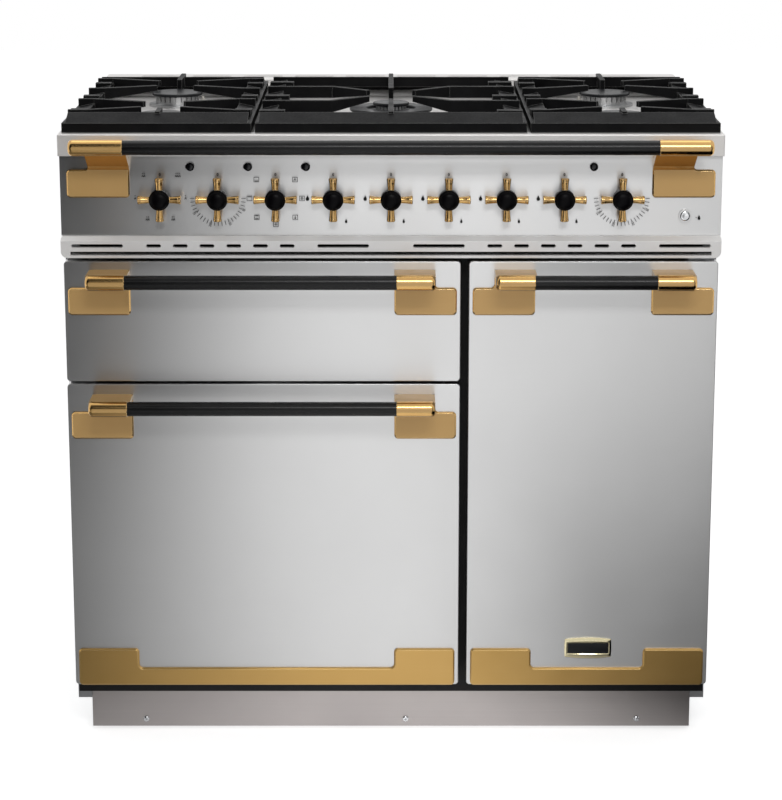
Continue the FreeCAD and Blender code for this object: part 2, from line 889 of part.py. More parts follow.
def handle_brackets(x0, x1, top):
    depth = -handle_standoff
    level = handle_axis(top)
    brackets = []
    for mouth, direction in handle_stems(x0, x1):
        inner = mouth - direction * mouth_inset
        start = inner - handle_plate_width if direction < 0 else inner
        plate = bevelled_plate(handle_plate_outline(start, top, direction < 0), -handle_plate, 0)
        outer = inner + direction * handle_stem_width
        low = top - shelf_thickness
        profile = [(depth, low), (-handle_plate, low), (-handle_plate, low - shelf_round),
                   (-handle_plate / 2, low - shelf_round), (-handle_plate / 2, top), (depth, top)]
        shelf = slab_x(profile, [0, shelf_round / 2, 0, 0, 0, shelf_thickness / 3],
                       min(inner, outer), max(inner, outer))
        cup = ferrule(mouth, direction, ferrule_length, depth, level)
        brackets.append(joined([plate, shelf, cup]).cut(socket(mouth, direction, depth, level)))
    return brackets


def handle_bar(x0, x1, top):
    (left, _), (right, _) = handle_stems(x0, x1)
    return rod_x(bar_radius, left - socket_depth, right + socket_depth, -handle_standoff, handle_axis(top))


def kick_plate(x0, x1):
    x0 = x0 + kick_side_inset
    x1 = x1 - kick_side_inset
    z0 = door_bottom
    lobe = z0 + kick_lobe_height
    strip = z0 + kick_strip_height
    outline = [(x0, z0), (x1, z0), (x1, lobe), (x1 - kick_lobe_width, lobe), (x1 - kick_lobe_width, strip),
               (x0 + kick_lobe_width, strip), (x0 + kick_lobe_width, lobe), (x0, lobe)]
    return bevelled_plate(outline, -kick_sheet, 0)


def grill_front_liner():
    x0, x1 = left_edge, left_column_end
    back_plate = liner(x0, x1, grill_front_low, fronts_top)
    low = runner_level
    front = liner_back_depth - sheet
    rear = frame_back_depth + moving_runner_length
    parts = [back_plate]
    for start, sign in ((grill_cavity[0] + runner_side_gap, 1), (grill_cavity[1] - runner_side_gap, -1)):
        inner = start + sign * moving_runner_width
        wall = start + sign * runner_thickness
        parts.append(box(min(start, inner), max(start, inner), front, rear, low, low + runner_thickness))
        parts.append(box(min(start, wall), max(start, wall), front, rear, low, low + moving_runner_rise))
    return joined(parts)


def pan_span():
    x0 = grill_cavity[0] + runner_side_gap + runner_thickness + seat_gap
    x1 = grill_cavity[1] - runner_side_gap - runner_thickness - seat_gap
    front = frame_back_depth + pan_front_gap
    return (x0, x1, front, front + pan_length)


def pan_tray():
    """Outer box of the pan's tray: x0, x1, d0, d1, floor and rim levels."""
    x0, x1, d0, d1 = pan_span()
    edge = moving_runner_width
    rim = runner_level + runner_thickness
    return (x0 + edge, x1 - edge, d0 + pan_rim, d1 - pan_rim, rim - pan_depth, rim)


def grill_pan():
    x0, x1, d0, d1 = pan_span()
    rim = runner_level + runner_thickness
    plate = box(x0, x1, d0, d1, rim, rim + pan_sheet)
    tx0, tx1, td0, td1, low, _ = pan_tray()
    tray = box(tx0, tx1, td0, td1, low, rim + pan_sheet)
    hollow = box(tx0 + pan_sheet, tx1 - pan_sheet, td0 + pan_sheet, td1 - pan_sheet,
                 low + pan_sheet, rim + pan_sheet + overrun)
    return joined([plate, tray]).cut(hollow)


def grill_trivet():
    x0, x1, d0, d1, low, _ = pan_tray()
    gap = pan_sheet + trivet_margin
    floor = low + pan_sheet
    level = floor + trivet_rise
    rack = wire_rack(x0 + gap, x1 - gap, d0 + gap, d1 - gap, level, trivet_wires)
    inset = gap + 3 * rack_rod
    for x in (x0 + inset, x1 - inset):
        for depth in (d0 + gap + rack_rod, d1 - gap - rack_rod):
            rack = rack.fuse(rod_z(rack_side_rod, x, depth, floor, level))
    return rack


# Hob

def burner_places():
    places = []
    for side in (-burner_side, burner_side):
        for depth in (front_burner, rear_burner):
            places.append((side, depth))
    return places


def hotplate():
    outer = box(-half_width, half_width, 0, body_depth, panel_top, hob_top)
    corners = [edge for edge in outer.Edges
               if edge.BoundBox.ZLength > lip_height / 2 or edge.BoundBox.ZMin > hob_top - same_place]
    outer = outer.makeFillet(hob_corner - overrun, corners)
    under = box(-half_width + hob_sheet, half_width - hob_sheet, hob_sheet, body_depth - hob_sheet,
                panel_top - overrun, hob_under)
    well = loft((-half_width + hob_rim_side + hob_well, half_width - hob_rim_side - hob_well,
                 hob_rim_front + hob_well, body_depth - hob_rim_rear - hob_well), hob_floor,
                (-half_width + hob_rim_side, half_width - hob_rim_side, hob_rim_front,
                 body_depth - hob_rim_rear), hob_top)
    cutters = [under, well]
    for x, depth in burner_places():
        cutters.append(rod_z(burner_stem_radius + hole_gap, x, depth, hob_under - overrun, hob_top))
    cutters.append(rod_z(wok_inner_radius + hole_gap, 0, centre_burner, hob_under - overrun, hob_top))
    for x, depth in electrode_places():
        cutters.append(rod_z(electrode_radius + fit_gap, x, depth, hob_under - overrun, hob_top))
    plate = outer
    for cutter in cutters:
        plate = plate.cut(cutter)
    return plate


def rear_vent():
    x = side_inner
    strip = box(-x, x, vent_front, vent_rear, hob_top, hob_top + vent_rise)
    upper = [edge for edge in strip.Edges if edge.BoundBox.ZMin > hob_top + vent_rise - same_place]
    strip = strip.makeFillet(vent_rise / 4, upper)
    hollow = box(-x + hob_sheet, x - hob_sheet, vent_front + hob_sheet, vent_rear - hob_sheet,
                 hob_top - overrun, hob_top + vent_rise - hob_sheet)
    strip = strip.cut(hollow)
    middle = (vent_front + vent_rear) / 2
    for index in range(vent_slots):
        side = (index - (vent_slots - 1) / 2) * vent_slot_pitch
        half = vent_slot_length / 2
        for row in (-vent_slot_width, vent_slot_width):
            strip = strip.cut(box(side - half, side + half, middle + row - vent_slot_width / 2,
                                  middle + row + vent_slot_width / 2, hob_top + vent_rise / 2,
                                  hob_top + vent_rise + overrun))
    return strip


def ported_ring(x, depth, radius, inner, low, high, ports):
    ring = rod_z(radius, x, depth, low, high)
    if inner > 0:
        ring = ring.cut(rod_z(inner, x, depth, low - overrun, high + overrun))
    cutters = []
    for index in range(ports):
        slot = box(x + radius - port_depth, x + radius + overrun, depth - port_width / 2,
                   depth + port_width / 2, high - (high - low) * 2 / 3, high + overrun)
        slot.rotate(Vector(x, back(depth), 0), Vector(0, 0, 1), index * 360 / ports)
        cutters.append(slot)
    return ring.cut(Part.makeCompound(cutters))


def burner_heads():
    heads = []
    low = hob_floor
    shoulder = low + burner_flange
    top = shoulder + burner_head_height
    for x, depth in burner_places():
        stem = rod_z(burner_stem_radius, x, depth, low - burner_stem_length, low)
        flange = rod_z(burner_flange_radius, x, depth, low, shoulder)
        crown = ported_ring(x, depth, burner_head_radius, 0, shoulder, top, burner_ports)
        heads.append(joined([stem, flange, crown]))
    stem = rod_z(wok_inner_radius, 0, centre_burner, low - burner_stem_length, low)
    flange = rod_z(wok_cap_radius, 0, centre_burner, low, shoulder)
    ring = ported_ring(0, centre_burner, wok_head_radius, wok_inner_radius, shoulder,
                       shoulder + wok_ring_height, 2 * burner_ports)
    core = ported_ring(0, centre_burner, wok_core_radius, 0, shoulder, shoulder + wok_core_height,
                       burner_ports)
    heads.append(joined([stem, flange, ring, core]))
    return heads


def softened_cap(cap, softness):
    high = cap.BoundBox.ZMax
    upper = [edge for edge in cap.Edges if edge.BoundBox.ZMin > high - same_place]
    return cap.makeFillet(softness, upper)


def burner_caps():
    shoulder = hob_floor + burner_flange
    low = shoulder + burner_head_height
    caps = []
    for x, depth in burner_places():
        cap = rod_z(burner_cap_radius, x, depth, low, low + burner_cap_height)
        caps.append(softened_cap(cap, burner_cap_height / 2))
    low = shoulder + wok_ring_height
    ring = rod_z(wok_cap_radius, 0, centre_burner, low, low + burner_cap_height)
    hole = rod_z(wok_inner_radius - overrun, 0, centre_burner, low - overrun,
                 low + burner_cap_height + overrun)
    caps.append(softened_cap(ring.cut(hole), burner_cap_height / 3))
    low = shoulder + wok_core_height
    core = rod_z(wok_core_cap_radius, 0, centre_burner, low, low + burner_cap_height)
    caps.append(softened_cap(core, burner_cap_height / 2))
    return caps


def electrode_places():
    places = []
    reach = (burner_flange_radius + electrode_out) / math.sqrt(2)
    for x, depth in burner_places():
        places.append((x - math.copysign(reach, x), depth + reach))
    reach = (wok_cap_radius + electrode_out) / math.sqrt(2)
    places.append((-reach, centre_burner + reach))
    return places


def spark_electrodes():
    pins = []
    for x, depth in electrode_places():
        pin = rod_z(electrode_radius, x, depth, hob_under - burner_stem_length / 2,
                    hob_floor + electrode_height)
        collar = rod_z(electrode_collar, x, depth, hob_floor, hob_floor + electrode_height / 2)
        pins.append(joined([pin, collar]))
    return pins


# Pan supports

def grate_frame(rect):
    """Ring with upright outer faces and a top that slopes up towards the opening."""
    face_top = hob_top + grate_face
    ridge = face_top + grate_band_rise
    inner = inset_rect(rect, grate_side_band, grate_band)
    low = loft(rect, grate_low, rect, face_top)
    slope = loft(rect, face_top, inner, ridge)
    ring = joined([low, slope])
    hollow_rect = inset_rect(rect, grate_wall)
    hollow_top = inset_rect(inner, -grate_wall)
    hollow = loft(hollow_rect, grate_low - overrun, hollow_rect, face_top - grate_wall)
    hollow_slope = loft(hollow_rect, face_top - grate_wall, hollow_top, ridge - grate_wall)
    opening = loft(inner, grate_low - overrun, inner, ridge + overrun)
    ring = ring.cut(hollow).cut(hollow_slope)
    edge = inset_rect(inner, -grate_wall)
    lip = loft(edge, face_top - grate_wall, edge, ridge - grate_wall / 2)
    return joined([ring, lip.common(joined([low, slope]))]).cut(opening)


def grate_ridges(rect):
    """Front and rear bars whose tops climb from the outer face to a ridge at the opening."""
    x0, x1, d0, d1 = rect
    face_top = hob_top + grate_face
    ridge = face_top + grate_ridge_rise
    seat = face_top + grate_band_rise - grate_wall / 2
    ridges = []
    for outer, way in ((d0, 1), (d1, -1)):
        inner = outer + way * grate_band
        profile = [(outer, face_top - grate_wall / 2), (outer, face_top), (inner, ridge), (inner, seat)]
        ridges.append(slab_x(profile, [0] * 4, x0 + grate_ridge_end, x1 - grate_ridge_end))
    return ridges


def finger(path, depths):
    """Upright blade along a path in X and depth, its top level and its depth tapering."""
    pieces = []
    for index in range(len(path) - 1):
        (xa, da), (xb, db) = path[index], path[index + 1]
        run = Vector(xb - xa, db - da, 0)
        across = Vector(-run.y, run.x, 0).normalize() * (finger_width / 2)
        wires = []
        for (x, depth), drop in ((path[index], depths[index]), (path[index + 1], depths[index + 1])):
            centre = Vector(x, back(depth), 0)
            corners = []
            for side, z in ((-1, grate_top - drop), (1, grate_top - drop), (1, grate_top), (-1, grate_top)):
                point = centre + across * side
                corners.append(Vector(point.x, point.y, z))
            wires.append(Part.makePolygon(corners + corners[:1]))
        pieces.append(Part.makeLoft(wires, True, True))
        if index > 0:
            pieces.append(rod_z(finger_width / 2, xa, da, grate_top - depths[index], grate_top))
    return pieces


def rib(x0, x1, depth):
    return box(min(x0, x1), max(x0, x1), depth - rib_width / 2, depth + rib_width / 2,
               hob_top + grate_face, grate_top - rib_height)


def rooted_finger(edge, inward, root, tip):
    """Finger from the outer edge of a side bar across it and then to its tip."""
    start = edge + inward * rib_inset
    knee = edge + inward * grate_side_band
    band = grate_top - hob_top - grate_face
    return finger([(start, root), (knee, root), tip], [band, finger_depth, finger_tip_depth])


def side_grate(x0, x1, burner_x):
    rect = (x0, x1, grate_front, grate_rear)
    parts = [grate_frame(rect)] + grate_ridges(rect)
    tip = finger_tip_out
    end = burner_cap_radius + finger_end_gap
    for burner in (front_burner, rear_burner):
        for way in (-1, 1):
            root = burner + way * finger_root_in
            for edge, inward in ((x0, 1), (x1, -1)):
                parts += rooted_finger(edge, inward, root, (burner_x - inward * tip, burner + way * tip))
    for depth in grate_rib_depths:
        for edge, inward in ((x0, 1), (x1, -1)):
            parts.append(rib(edge + inward * rib_inset, edge + inward * grate_side_band, depth))
    band = grate_top - hob_top - grate_face
    parts += finger([(burner_x, grate_rear - rib_inset), (burner_x, grate_rear - grate_band),
                     (burner_x, rear_burner + end)], [band, finger_depth, finger_depth])
    parts += finger([(burner_x, grate_front + grate_band - grate_wall), (burner_x, front_burner - end)],
                    [band, finger_depth])
    return joined(parts)


middle_depth = (front_burner + rear_burner) / 2
rib_reach = (rear_burner - front_burner) / 2 + finger_root_in / 2
grate_rib_depths = (middle_depth - rib_reach, middle_depth, middle_depth + rib_reach)


def centre_grate(x0, x1):
    rect = (x0, x1, grate_front, grate_rear)
    parts = [grate_frame(rect)] + grate_ridges(rect)
    band = grate_top - hob_top - grate_face
    for way in (-1, 1):
        row = centre_burner + way * centre_finger_row
        for edge, inward in ((x0, 1), (x1, -1)):
            knee = edge + inward * grate_side_band
            parts += finger([(edge + inward * rib_inset, row), (knee, row),
                             (-inward * centre_finger_bend, row),
                             (-inward * centre_tip_out, centre_burner + way * centre_tip_row)],
                            [band, finger_depth, finger_depth, finger_tip_depth])
    for row in (-2, 0, 2):
        depth = centre_burner + row * centre_finger_row
        for edge, inward in ((x0, 1), (x1, -1)):
            reach = edge + inward * (grate_side_band + centre_rib_reach)
            parts.append(rib(edge + inward * rib_inset, reach, depth))
    end = wok_cap_radius + finger_end_gap
    parts += finger([(0, grate_rear - rib_inset), (0, grate_rear - grate_band), (0, centre_burner + end)],
                    [band, finger_depth, finger_depth])
    parts += finger([(0, grate_front + grate_band - grate_wall), (0, centre_burner - end)],
                    [band, finger_depth])
    return joined(parts)


# Control panel

manifold_level = knob_level - control_body_width / 2 - manifold_radius - hole_gap
manifold_depth = fascia_back_depth + control_body_depth / 2


def lamp_sides():
    """Each lamp stands halfway between two knobs, towards the middle of the panel."""
    return [knob_sides[index] - math.copysign(knob_pitch / 2, knob_sides[index]) for index in lamp_knobs]


def control_panel():
    half = half_width - fascia_inset
    face = box(-half, half, fascia_depth, fascia_back_depth, trim_top, panel_top)
    top = box(-half, half, fascia_depth, fascia_depth + fascia_flange, panel_top - sheet, panel_top)
    low = box(-half, half, fascia_depth, frame_back_depth, trim_top, trim_top + sheet)
    ends = [box(x0, x0 + sheet, fascia_depth, frame_back_depth, trim_top, panel_top)
            for x0 in (-half, half - sheet)]
    bezel = rod_y(bezel_radius, button_side, fascia_depth - bezel_rise, fascia_depth, button_level)
    panel = joined([face, top, low] + ends + [bezel])
    cutters = []
    for side in knob_sides:
        cutters.append(rod_y(spindle_hole, side, fascia_depth - overrun, fascia_back_depth + overrun,
                             knob_level))
    for side in lamp_sides():
        cutters.append(rod_y(lamp_body_radius + fit_gap, side, fascia_depth - overrun,
                             fascia_back_depth + overrun, lamp_level))
    cutters.append(rod_y(button_radius + seat_gap, button_side, fascia_depth - bezel_rise - overrun,
                         fascia_back_depth + overrun, button_level))
    return panel.cut(Part.makeCompound(cutters))


def vent_trim():
    half = half_width - fascia_inset
    bar = slab_y([(-half, trim_low), (half, trim_low), (half, trim_top), (-half, trim_top)],
                 [trim_end_round, trim_end_round, trim_end_round / 3, trim_end_round / 3],
                 trim_front, trim_front + trim_depth)
    bar = bar.cut(slab_x([(trim_front - overrun, trim_top - trim_bevel - overrun),
                          (trim_front + trim_bevel + overrun, trim_top + overrun),
                          (trim_front - overrun, trim_top + overrun)], [0] * 3, -half_width, half_width))
    bar = bar.cut(box(-half + trim_end_round, half - trim_end_round, trim_front + trim_bevel + sheet,
                      trim_front + trim_depth + overrun, trim_low + sheet, trim_top - sheet))
    groove_low = trim_low + trim_lip
    cutters = [box(-half + trim_groove_inset, half - trim_groove_inset, trim_front - overrun,
                   trim_front + trim_bevel + 2 * sheet, groove_low, groove_low + trim_groove)]
    for sign in (-1, 1):
        spans = [(outer_slot_start - long_slot, outer_slot_start),
                 (inner_slot_start - long_slot, inner_slot_start)]
        for index in range(short_slots):
            start = short_slot_start - index * short_slot_pitch
            spans.append((start - short_slot, start))
        for near, far in spans:
            x0, x1 = (near, far) if sign > 0 else (-far, -near)
            cutters.append(slot_y(x0, x1, slot_level, slot_height, trim_front - overrun,
                                  trim_front + trim_bevel + 2 * sheet))
    return bar.cut(Part.makeCompound(cutters))


def rail_stems():
    """Mouth of each rail socket, just outside the inner side of its bracket."""
    mouth = rail_plate_side - handle_plate_width + mouth_inset
    return ((-mouth, -1), (mouth, 1))


def rail_brackets():
    brackets = []
    top = panel_top - hole_gap
    outer = rail_plate_side
    plate_low = rail_plate_top - handle_plate_height
    front = fascia_depth - handle_plate
    for mouth, direction in rail_stems():
        inner_side = outer - handle_plate_width
        stem_outer = inner_side + handle_stem_width
        outline = [(inner_side, plate_low), (outer, plate_low), (outer, rail_plate_top),
                   (stem_outer, rail_plate_top), (stem_outer, top), (inner_side, top)]
        if direction < 0:
            outline = [(-x, z) for x, z in outline]
        plate = slab_y(outline, [handle_corner] * 4 + [overrun] * 2, front, fascia_depth)
        plate = plate.makeChamfer(handle_bevel, edges_at_depth(plate, front))
        x0, x1 = sorted((direction * inner_side, direction * stem_outer))
        reach = -handle_standoff
        profile = [(front + handle_plate / 2, rail_plate_top), (front + handle_plate / 2, top),
                   (-hob_sheet, top), (reach, rail_level + shelf_thickness / 2),
                   (reach, rail_level - shelf_thickness / 2), (-hob_sheet, top - shelf_thickness * 2),
                   (front, rail_plate_top)]
        arm = slab_x(profile, [0, 0, shelf_round, 0, 0, shelf_round, 0], x0, x1)
        cup = ferrule(mouth, direction, rail_ferrule_length, reach, rail_level)
        solid = joined([plate, arm, cup])
        brackets.append(solid.cut(socket(mouth, direction, -handle_standoff, rail_level)))
    return brackets


def front_rail():
    (left, _), (right, _) = rail_stems()
    return rod_x(bar_radius, left - socket_depth, right + socket_depth, -handle_standoff, rail_level)


def spoke(centre, way):
    """Flared round spoke with a collar near its tip, turned about its own axis."""
    side = Vector(0, 1, 0)
    collar = spoke_tip_radius + spoke_collar_rise
    collar_start = spoke_reach - 2 * spoke_collar
    collar_end = spoke_reach - spoke_collar
    profile = [(0, knob_hub_radius / 2), (spoke_root_radius, knob_hub_radius / 2),
               (spoke_tip_radius - spoke_collar_rise, collar_start), (collar, collar_start),
               (collar, collar_end), (spoke_tip_radius, collar_end),
               (spoke_tip_radius, spoke_reach), (0, spoke_reach)]
    points = [centre + side * radius + way * reach for radius, reach in profile]
    return Part.Face(Part.makePolygon(points + points[:1])).revolve(centre, way, 360)


def knob(side):
    rear = knob_back_depth
    front = knob_back_depth - knob_projection
    hub = rod_y(knob_hub_radius, side, front, rear, knob_level)
    hub = hub.makeFillet(knob_edge, edges_at_depth(hub, front))
    solid = hub.fuse(rod_y(spindle_radius, side, rear - overrun, fascia_depth + spindle_length, knob_level))
    centre = Vector(side, back(rear - spoke_level), knob_level)
    for way in (Vector(1, 0, 0), Vector(-1, 0, 0), Vector(0, 0, 1), Vector(0, 0, -1)):
        solid = solid.fuse(spoke(centre, way))
    return solid


def control_bodies():
    bodies = []
    half = control_body_width / 2
    rear = fascia_back_depth + control_body_depth
    for side in knob_sides:
        body = box(side - half, side + half, fascia_back_depth, rear, knob_level - half, knob_level + half)
        body = body.cut(rod_y(spindle_radius + fit_gap, side, fascia_back_depth - overrun,
                              fascia_depth + spindle_length + hole_gap, knob_level))
        bodies.append(body)
    half = spark_switch_width / 2
    shell = box(button_side - half, button_side + half, fascia_back_depth, rear - half,
                button_level - half, button_level + half)
    room = fascia_depth + button_travel + seat_gap + button_plunger_length
    guide = rod_y(button_plunger_radius + fit_gap, button_side, fascia_depth, room, button_level)
    cup = rod_y(button_radius + seat_gap, button_side, fascia_depth,
                fascia_back_depth + 2 * button_travel, button_level)
    bodies.append(shell.cut(guide).cut(cup))
    return bodies


def igniter_button():
    head_rear = fascia_back_depth
    head = rod_y(button_radius, button_side, fascia_depth - button_rise, head_rear, button_level)
    head = head.makeFillet(knob_edge, edges_at_depth(head, fascia_depth - button_rise))
    plunger = rod_y(button_plunger_radius, button_side, fascia_depth,
                    fascia_depth + button_plunger_length, button_level)
    return joined([head, plunger])


def indicator_lamps():
    lamps = []
    for side in lamp_sides():
        lens = rod_y(lamp_radius, side, fascia_depth - lamp_rise, fascia_depth, lamp_level)
        lens = lens.makeFillet(lamp_rise / 2, edges_at_depth(lens, fascia_depth - lamp_rise))
        body = rod_y(lamp_body_radius, side, fascia_depth - lamp_rise / 2, fascia_depth + lamp_length,
                     lamp_level)
        lamps.append(joined([lens, body]))
    return lamps


def gas_manifold():
    first = knob_sides[first_gas_knob] - saddle_width
    pipe = rod_x(manifold_radius, first, manifold_side, manifold_depth, manifold_level)
    elbow = Part.makeSphere(manifold_radius, Vector(manifold_side, back(manifold_depth), manifold_level))
    rear = body_depth - hole_gap
    inlet_start = rear - inlet_length
    run = rod_y(gas_pipe_radius, manifold_side, manifold_depth, inlet_start, manifold_level)
    inlet = rod_y(inlet_radius, manifold_side, inlet_start, rear, manifold_level)
    parts = [pipe, elbow, run, inlet]
    top = knob_level - control_body_width / 2
    half = saddle_width / 2
    for index in range(first_gas_knob, last_gas_knob + 1):
        side = knob_sides[index]
        parts.append(box(side - half, side + half, manifold_depth - half, manifold_depth + half,
                         manifold_level, top))
    return joined(parts)


# Every sub-part by name

def all_parts():
    left, left_end = left_edge, left_column_end
    right, right_end = right_column_start, right_edge
    upper_handle = fronts_top - upper_handle_drop
    main_handle = main_door_top - main_handle_drop
    half_centre = half_width - grate_side_inset - grate_side_width - grate_gap
    parts = {
        "base_frame": base_frame(),
        "side_panel_left": side_panel(-1),
        "side_panel_right": side_panel(1),
        "rear_cover": rear_cover(),
        "front_frame": front_frame(),
        "hinge_brackets": hinge_brackets(),
        "levelling_feet": levelling_feet(),
        "plinth": plinth(),
        "plinth_screws": plinth_screws(),
        "hotplate": hotplate(),
        "rear_vent": rear_vent(),
        "burner_heads": burner_heads(),
        "burner_caps": burner_caps(),
        "spark_electrodes": spark_electrodes(),
        "control_panel": control_panel(),
        "vent_trim": vent_trim(),
        "rail_brackets": rail_brackets(),
        "front_rail": front_rail(),
        "indicator_lamps": indicator_lamps(),
        "gas_manifold": gas_manifold(),
        "control_bodies": control_bodies(),
        "igniter_button": igniter_button(),
        "grill_chamber": grill_chamber(),
        "main_oven_cavity": oven_cavity(main_cavity, main_ledge_levels),
        "tall_oven_cavity": oven_cavity(tall_cavity, tall_ledge_levels),
        "heating_elements": [grill_element(), ring_element(main_cavity), ring_element(tall_cavity)],
        "fan_covers": [fan_cover(main_cavity), fan_cover(tall_cavity)],
        "fan_motors": [fan_motor(main_cavity), fan_motor(tall_cavity)],
        "main_oven_fan": fan(main_cavity),
        "tall_oven_fan": fan(tall_cavity),
        "oven_racks": oven_racks(),
        "door_seals": door_seals(),
        "grill_front_panel": front_panel(left, left_end, grill_front_low, fronts_top),
        "grill_front_liner": grill_front_liner(),
        "grill_handle_brackets": handle_brackets(left, left_end, upper_handle),
        "grill_handle_bar": handle_bar(left, left_end, upper_handle),
        "grill_pan": grill_pan(),
        "grill_trivet": grill_trivet(),
        "main_door_panel": hinged_panel(left, left_end, door_bottom, main_door_top, hinge_axis_left),
        "main_door_liner": liner(left, left_end, door_bottom, main_door_top),
        "main_handle_brackets": handle_brackets(left, left_end, main_handle),
        "main_handle_bar": handle_bar(left, left_end, main_handle),
        "main_kick_plate": kick_plate(left, left_end),
        "tall_door_panel": hinged_panel(right, right_end, door_bottom, fronts_top, hinge_axis_right),
        "tall_door_liner": liner(right, right_end, door_bottom, fronts_top),
        "tall_handle_brackets": handle_brackets(right, right_end, upper_handle),
        "tall_handle_bar": handle_bar(right, right_end, upper_handle),
        "tall_kick_plate": kick_plate(right, right_end),
        "pan_support_left": side_grate(-half_width + grate_side_inset,
                                       -half_width + grate_side_inset + grate_side_width, -burner_side),
        "pan_support_centre": centre_grate(-half_centre, half_centre),
        "pan_support_right": side_grate(half_width - grate_side_inset - grate_side_width,
                                        half_width - grate_side_inset, burner_side),
    }
    for index, side in enumerate(knob_sides):
        parts[f"knob_{index + 1}"] = knob(side)
    return parts


os.makedirs("parts", exist_ok=True)
for name, shape in all_parts().items():
    if isinstance(shape, list):
        shape = Part.makeCompound(shape)
    shape.exportStep(f"parts/{name}.step")
    print(name, "solids", len(shape.Solids), "valid", shape.isValid())
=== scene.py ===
import math

import bmesh
import bpy
from mathutils import Matrix, Vector


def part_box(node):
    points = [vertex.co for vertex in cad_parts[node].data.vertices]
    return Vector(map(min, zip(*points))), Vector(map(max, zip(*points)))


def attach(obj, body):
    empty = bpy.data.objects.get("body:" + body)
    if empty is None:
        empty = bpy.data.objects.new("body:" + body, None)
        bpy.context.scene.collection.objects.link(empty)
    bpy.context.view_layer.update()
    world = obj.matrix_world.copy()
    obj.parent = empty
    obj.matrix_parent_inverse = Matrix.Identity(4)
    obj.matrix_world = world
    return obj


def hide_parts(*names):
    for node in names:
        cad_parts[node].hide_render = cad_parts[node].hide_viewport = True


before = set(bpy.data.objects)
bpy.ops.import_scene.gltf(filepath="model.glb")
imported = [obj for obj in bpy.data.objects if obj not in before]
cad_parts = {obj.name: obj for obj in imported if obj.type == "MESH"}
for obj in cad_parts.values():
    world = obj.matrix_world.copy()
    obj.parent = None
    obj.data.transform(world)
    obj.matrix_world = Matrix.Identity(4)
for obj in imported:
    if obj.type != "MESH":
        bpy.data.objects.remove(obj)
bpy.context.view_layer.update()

MM = 0.001
scene = bpy.context.scene

# Camera: the eye stands where the photograph's eye stood
EYE_DISTANCE = 3340 * MM
EYE_LEVEL = 1337 * MM
EYE_TILT = 13.12
LENS = 112.4
SENSOR = 36.0
SHIFT = -0.05

# Depths of the front faces, and the body that stays in place
door_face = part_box("main_door_panel")[0].y
panel_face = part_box("control_panel")[0].y
CARCASS = "carcass"


# Materials
def linear(value):
    """Linear share of a display tone that is given from 0 to 255."""
    value = value / 255
    return value / 12.92 if value <= 0.04045 else ((value + 0.055) / 1.055) ** 2.4


def colour(red, green, blue):
    return (linear(red), linear(green), linear(blue), 1.0)


def add(tree, kind, inputs=None, **settings):
    """New node with its settings; an input is a value or another node's socket."""
    item = tree.nodes.new(kind)
    for key, value in settings.items():
        setattr(item, key, value)
    for key, value in (inputs or {}).items():
        if isinstance(value, bpy.types.NodeSocket):
            tree.links.new(value, item.inputs[key])
        else:
            item.inputs[key].default_value = value
    return item


def noise(tree, where, scale, detail=3.0, roughness=0.55):
    """Noise over object coordinates, with its own scale along each axis."""
    mapped = add(tree, "ShaderNodeMapping", {"Vector": where, "Scale": scale})
    return add(tree, "ShaderNodeTexNoise", {
        "Vector": mapped.outputs["Vector"], "Scale": 1.0, "Detail": detail, "Roughness": roughness,
    }).outputs["Fac"]


def spread(tree, value, low, high, start=0.3, end=0.7):
    """Value carried from the span start to end, where noise mostly lies, to the span low to high."""
    return add(tree, "ShaderNodeMapRange", {
        "Value": value, "From Min": start, "From Max": end, "To Min": low, "To Max": high,
    }).outputs["Result"]


def blended(tree, share, first, second):
    """Colour mixed from two by a share; each is a value or another node's socket."""
    mixed = add(tree, "ShaderNodeMix", {"Factor": share}, data_type="RGBA")
    for socket, value in ((mixed.inputs[6], first), (mixed.inputs[7], second)):
        if isinstance(value, bpy.types.NodeSocket):
            tree.links.new(value, socket)
        else:
            socket.default_value = value
    return mixed.outputs[2]


finishes = {}


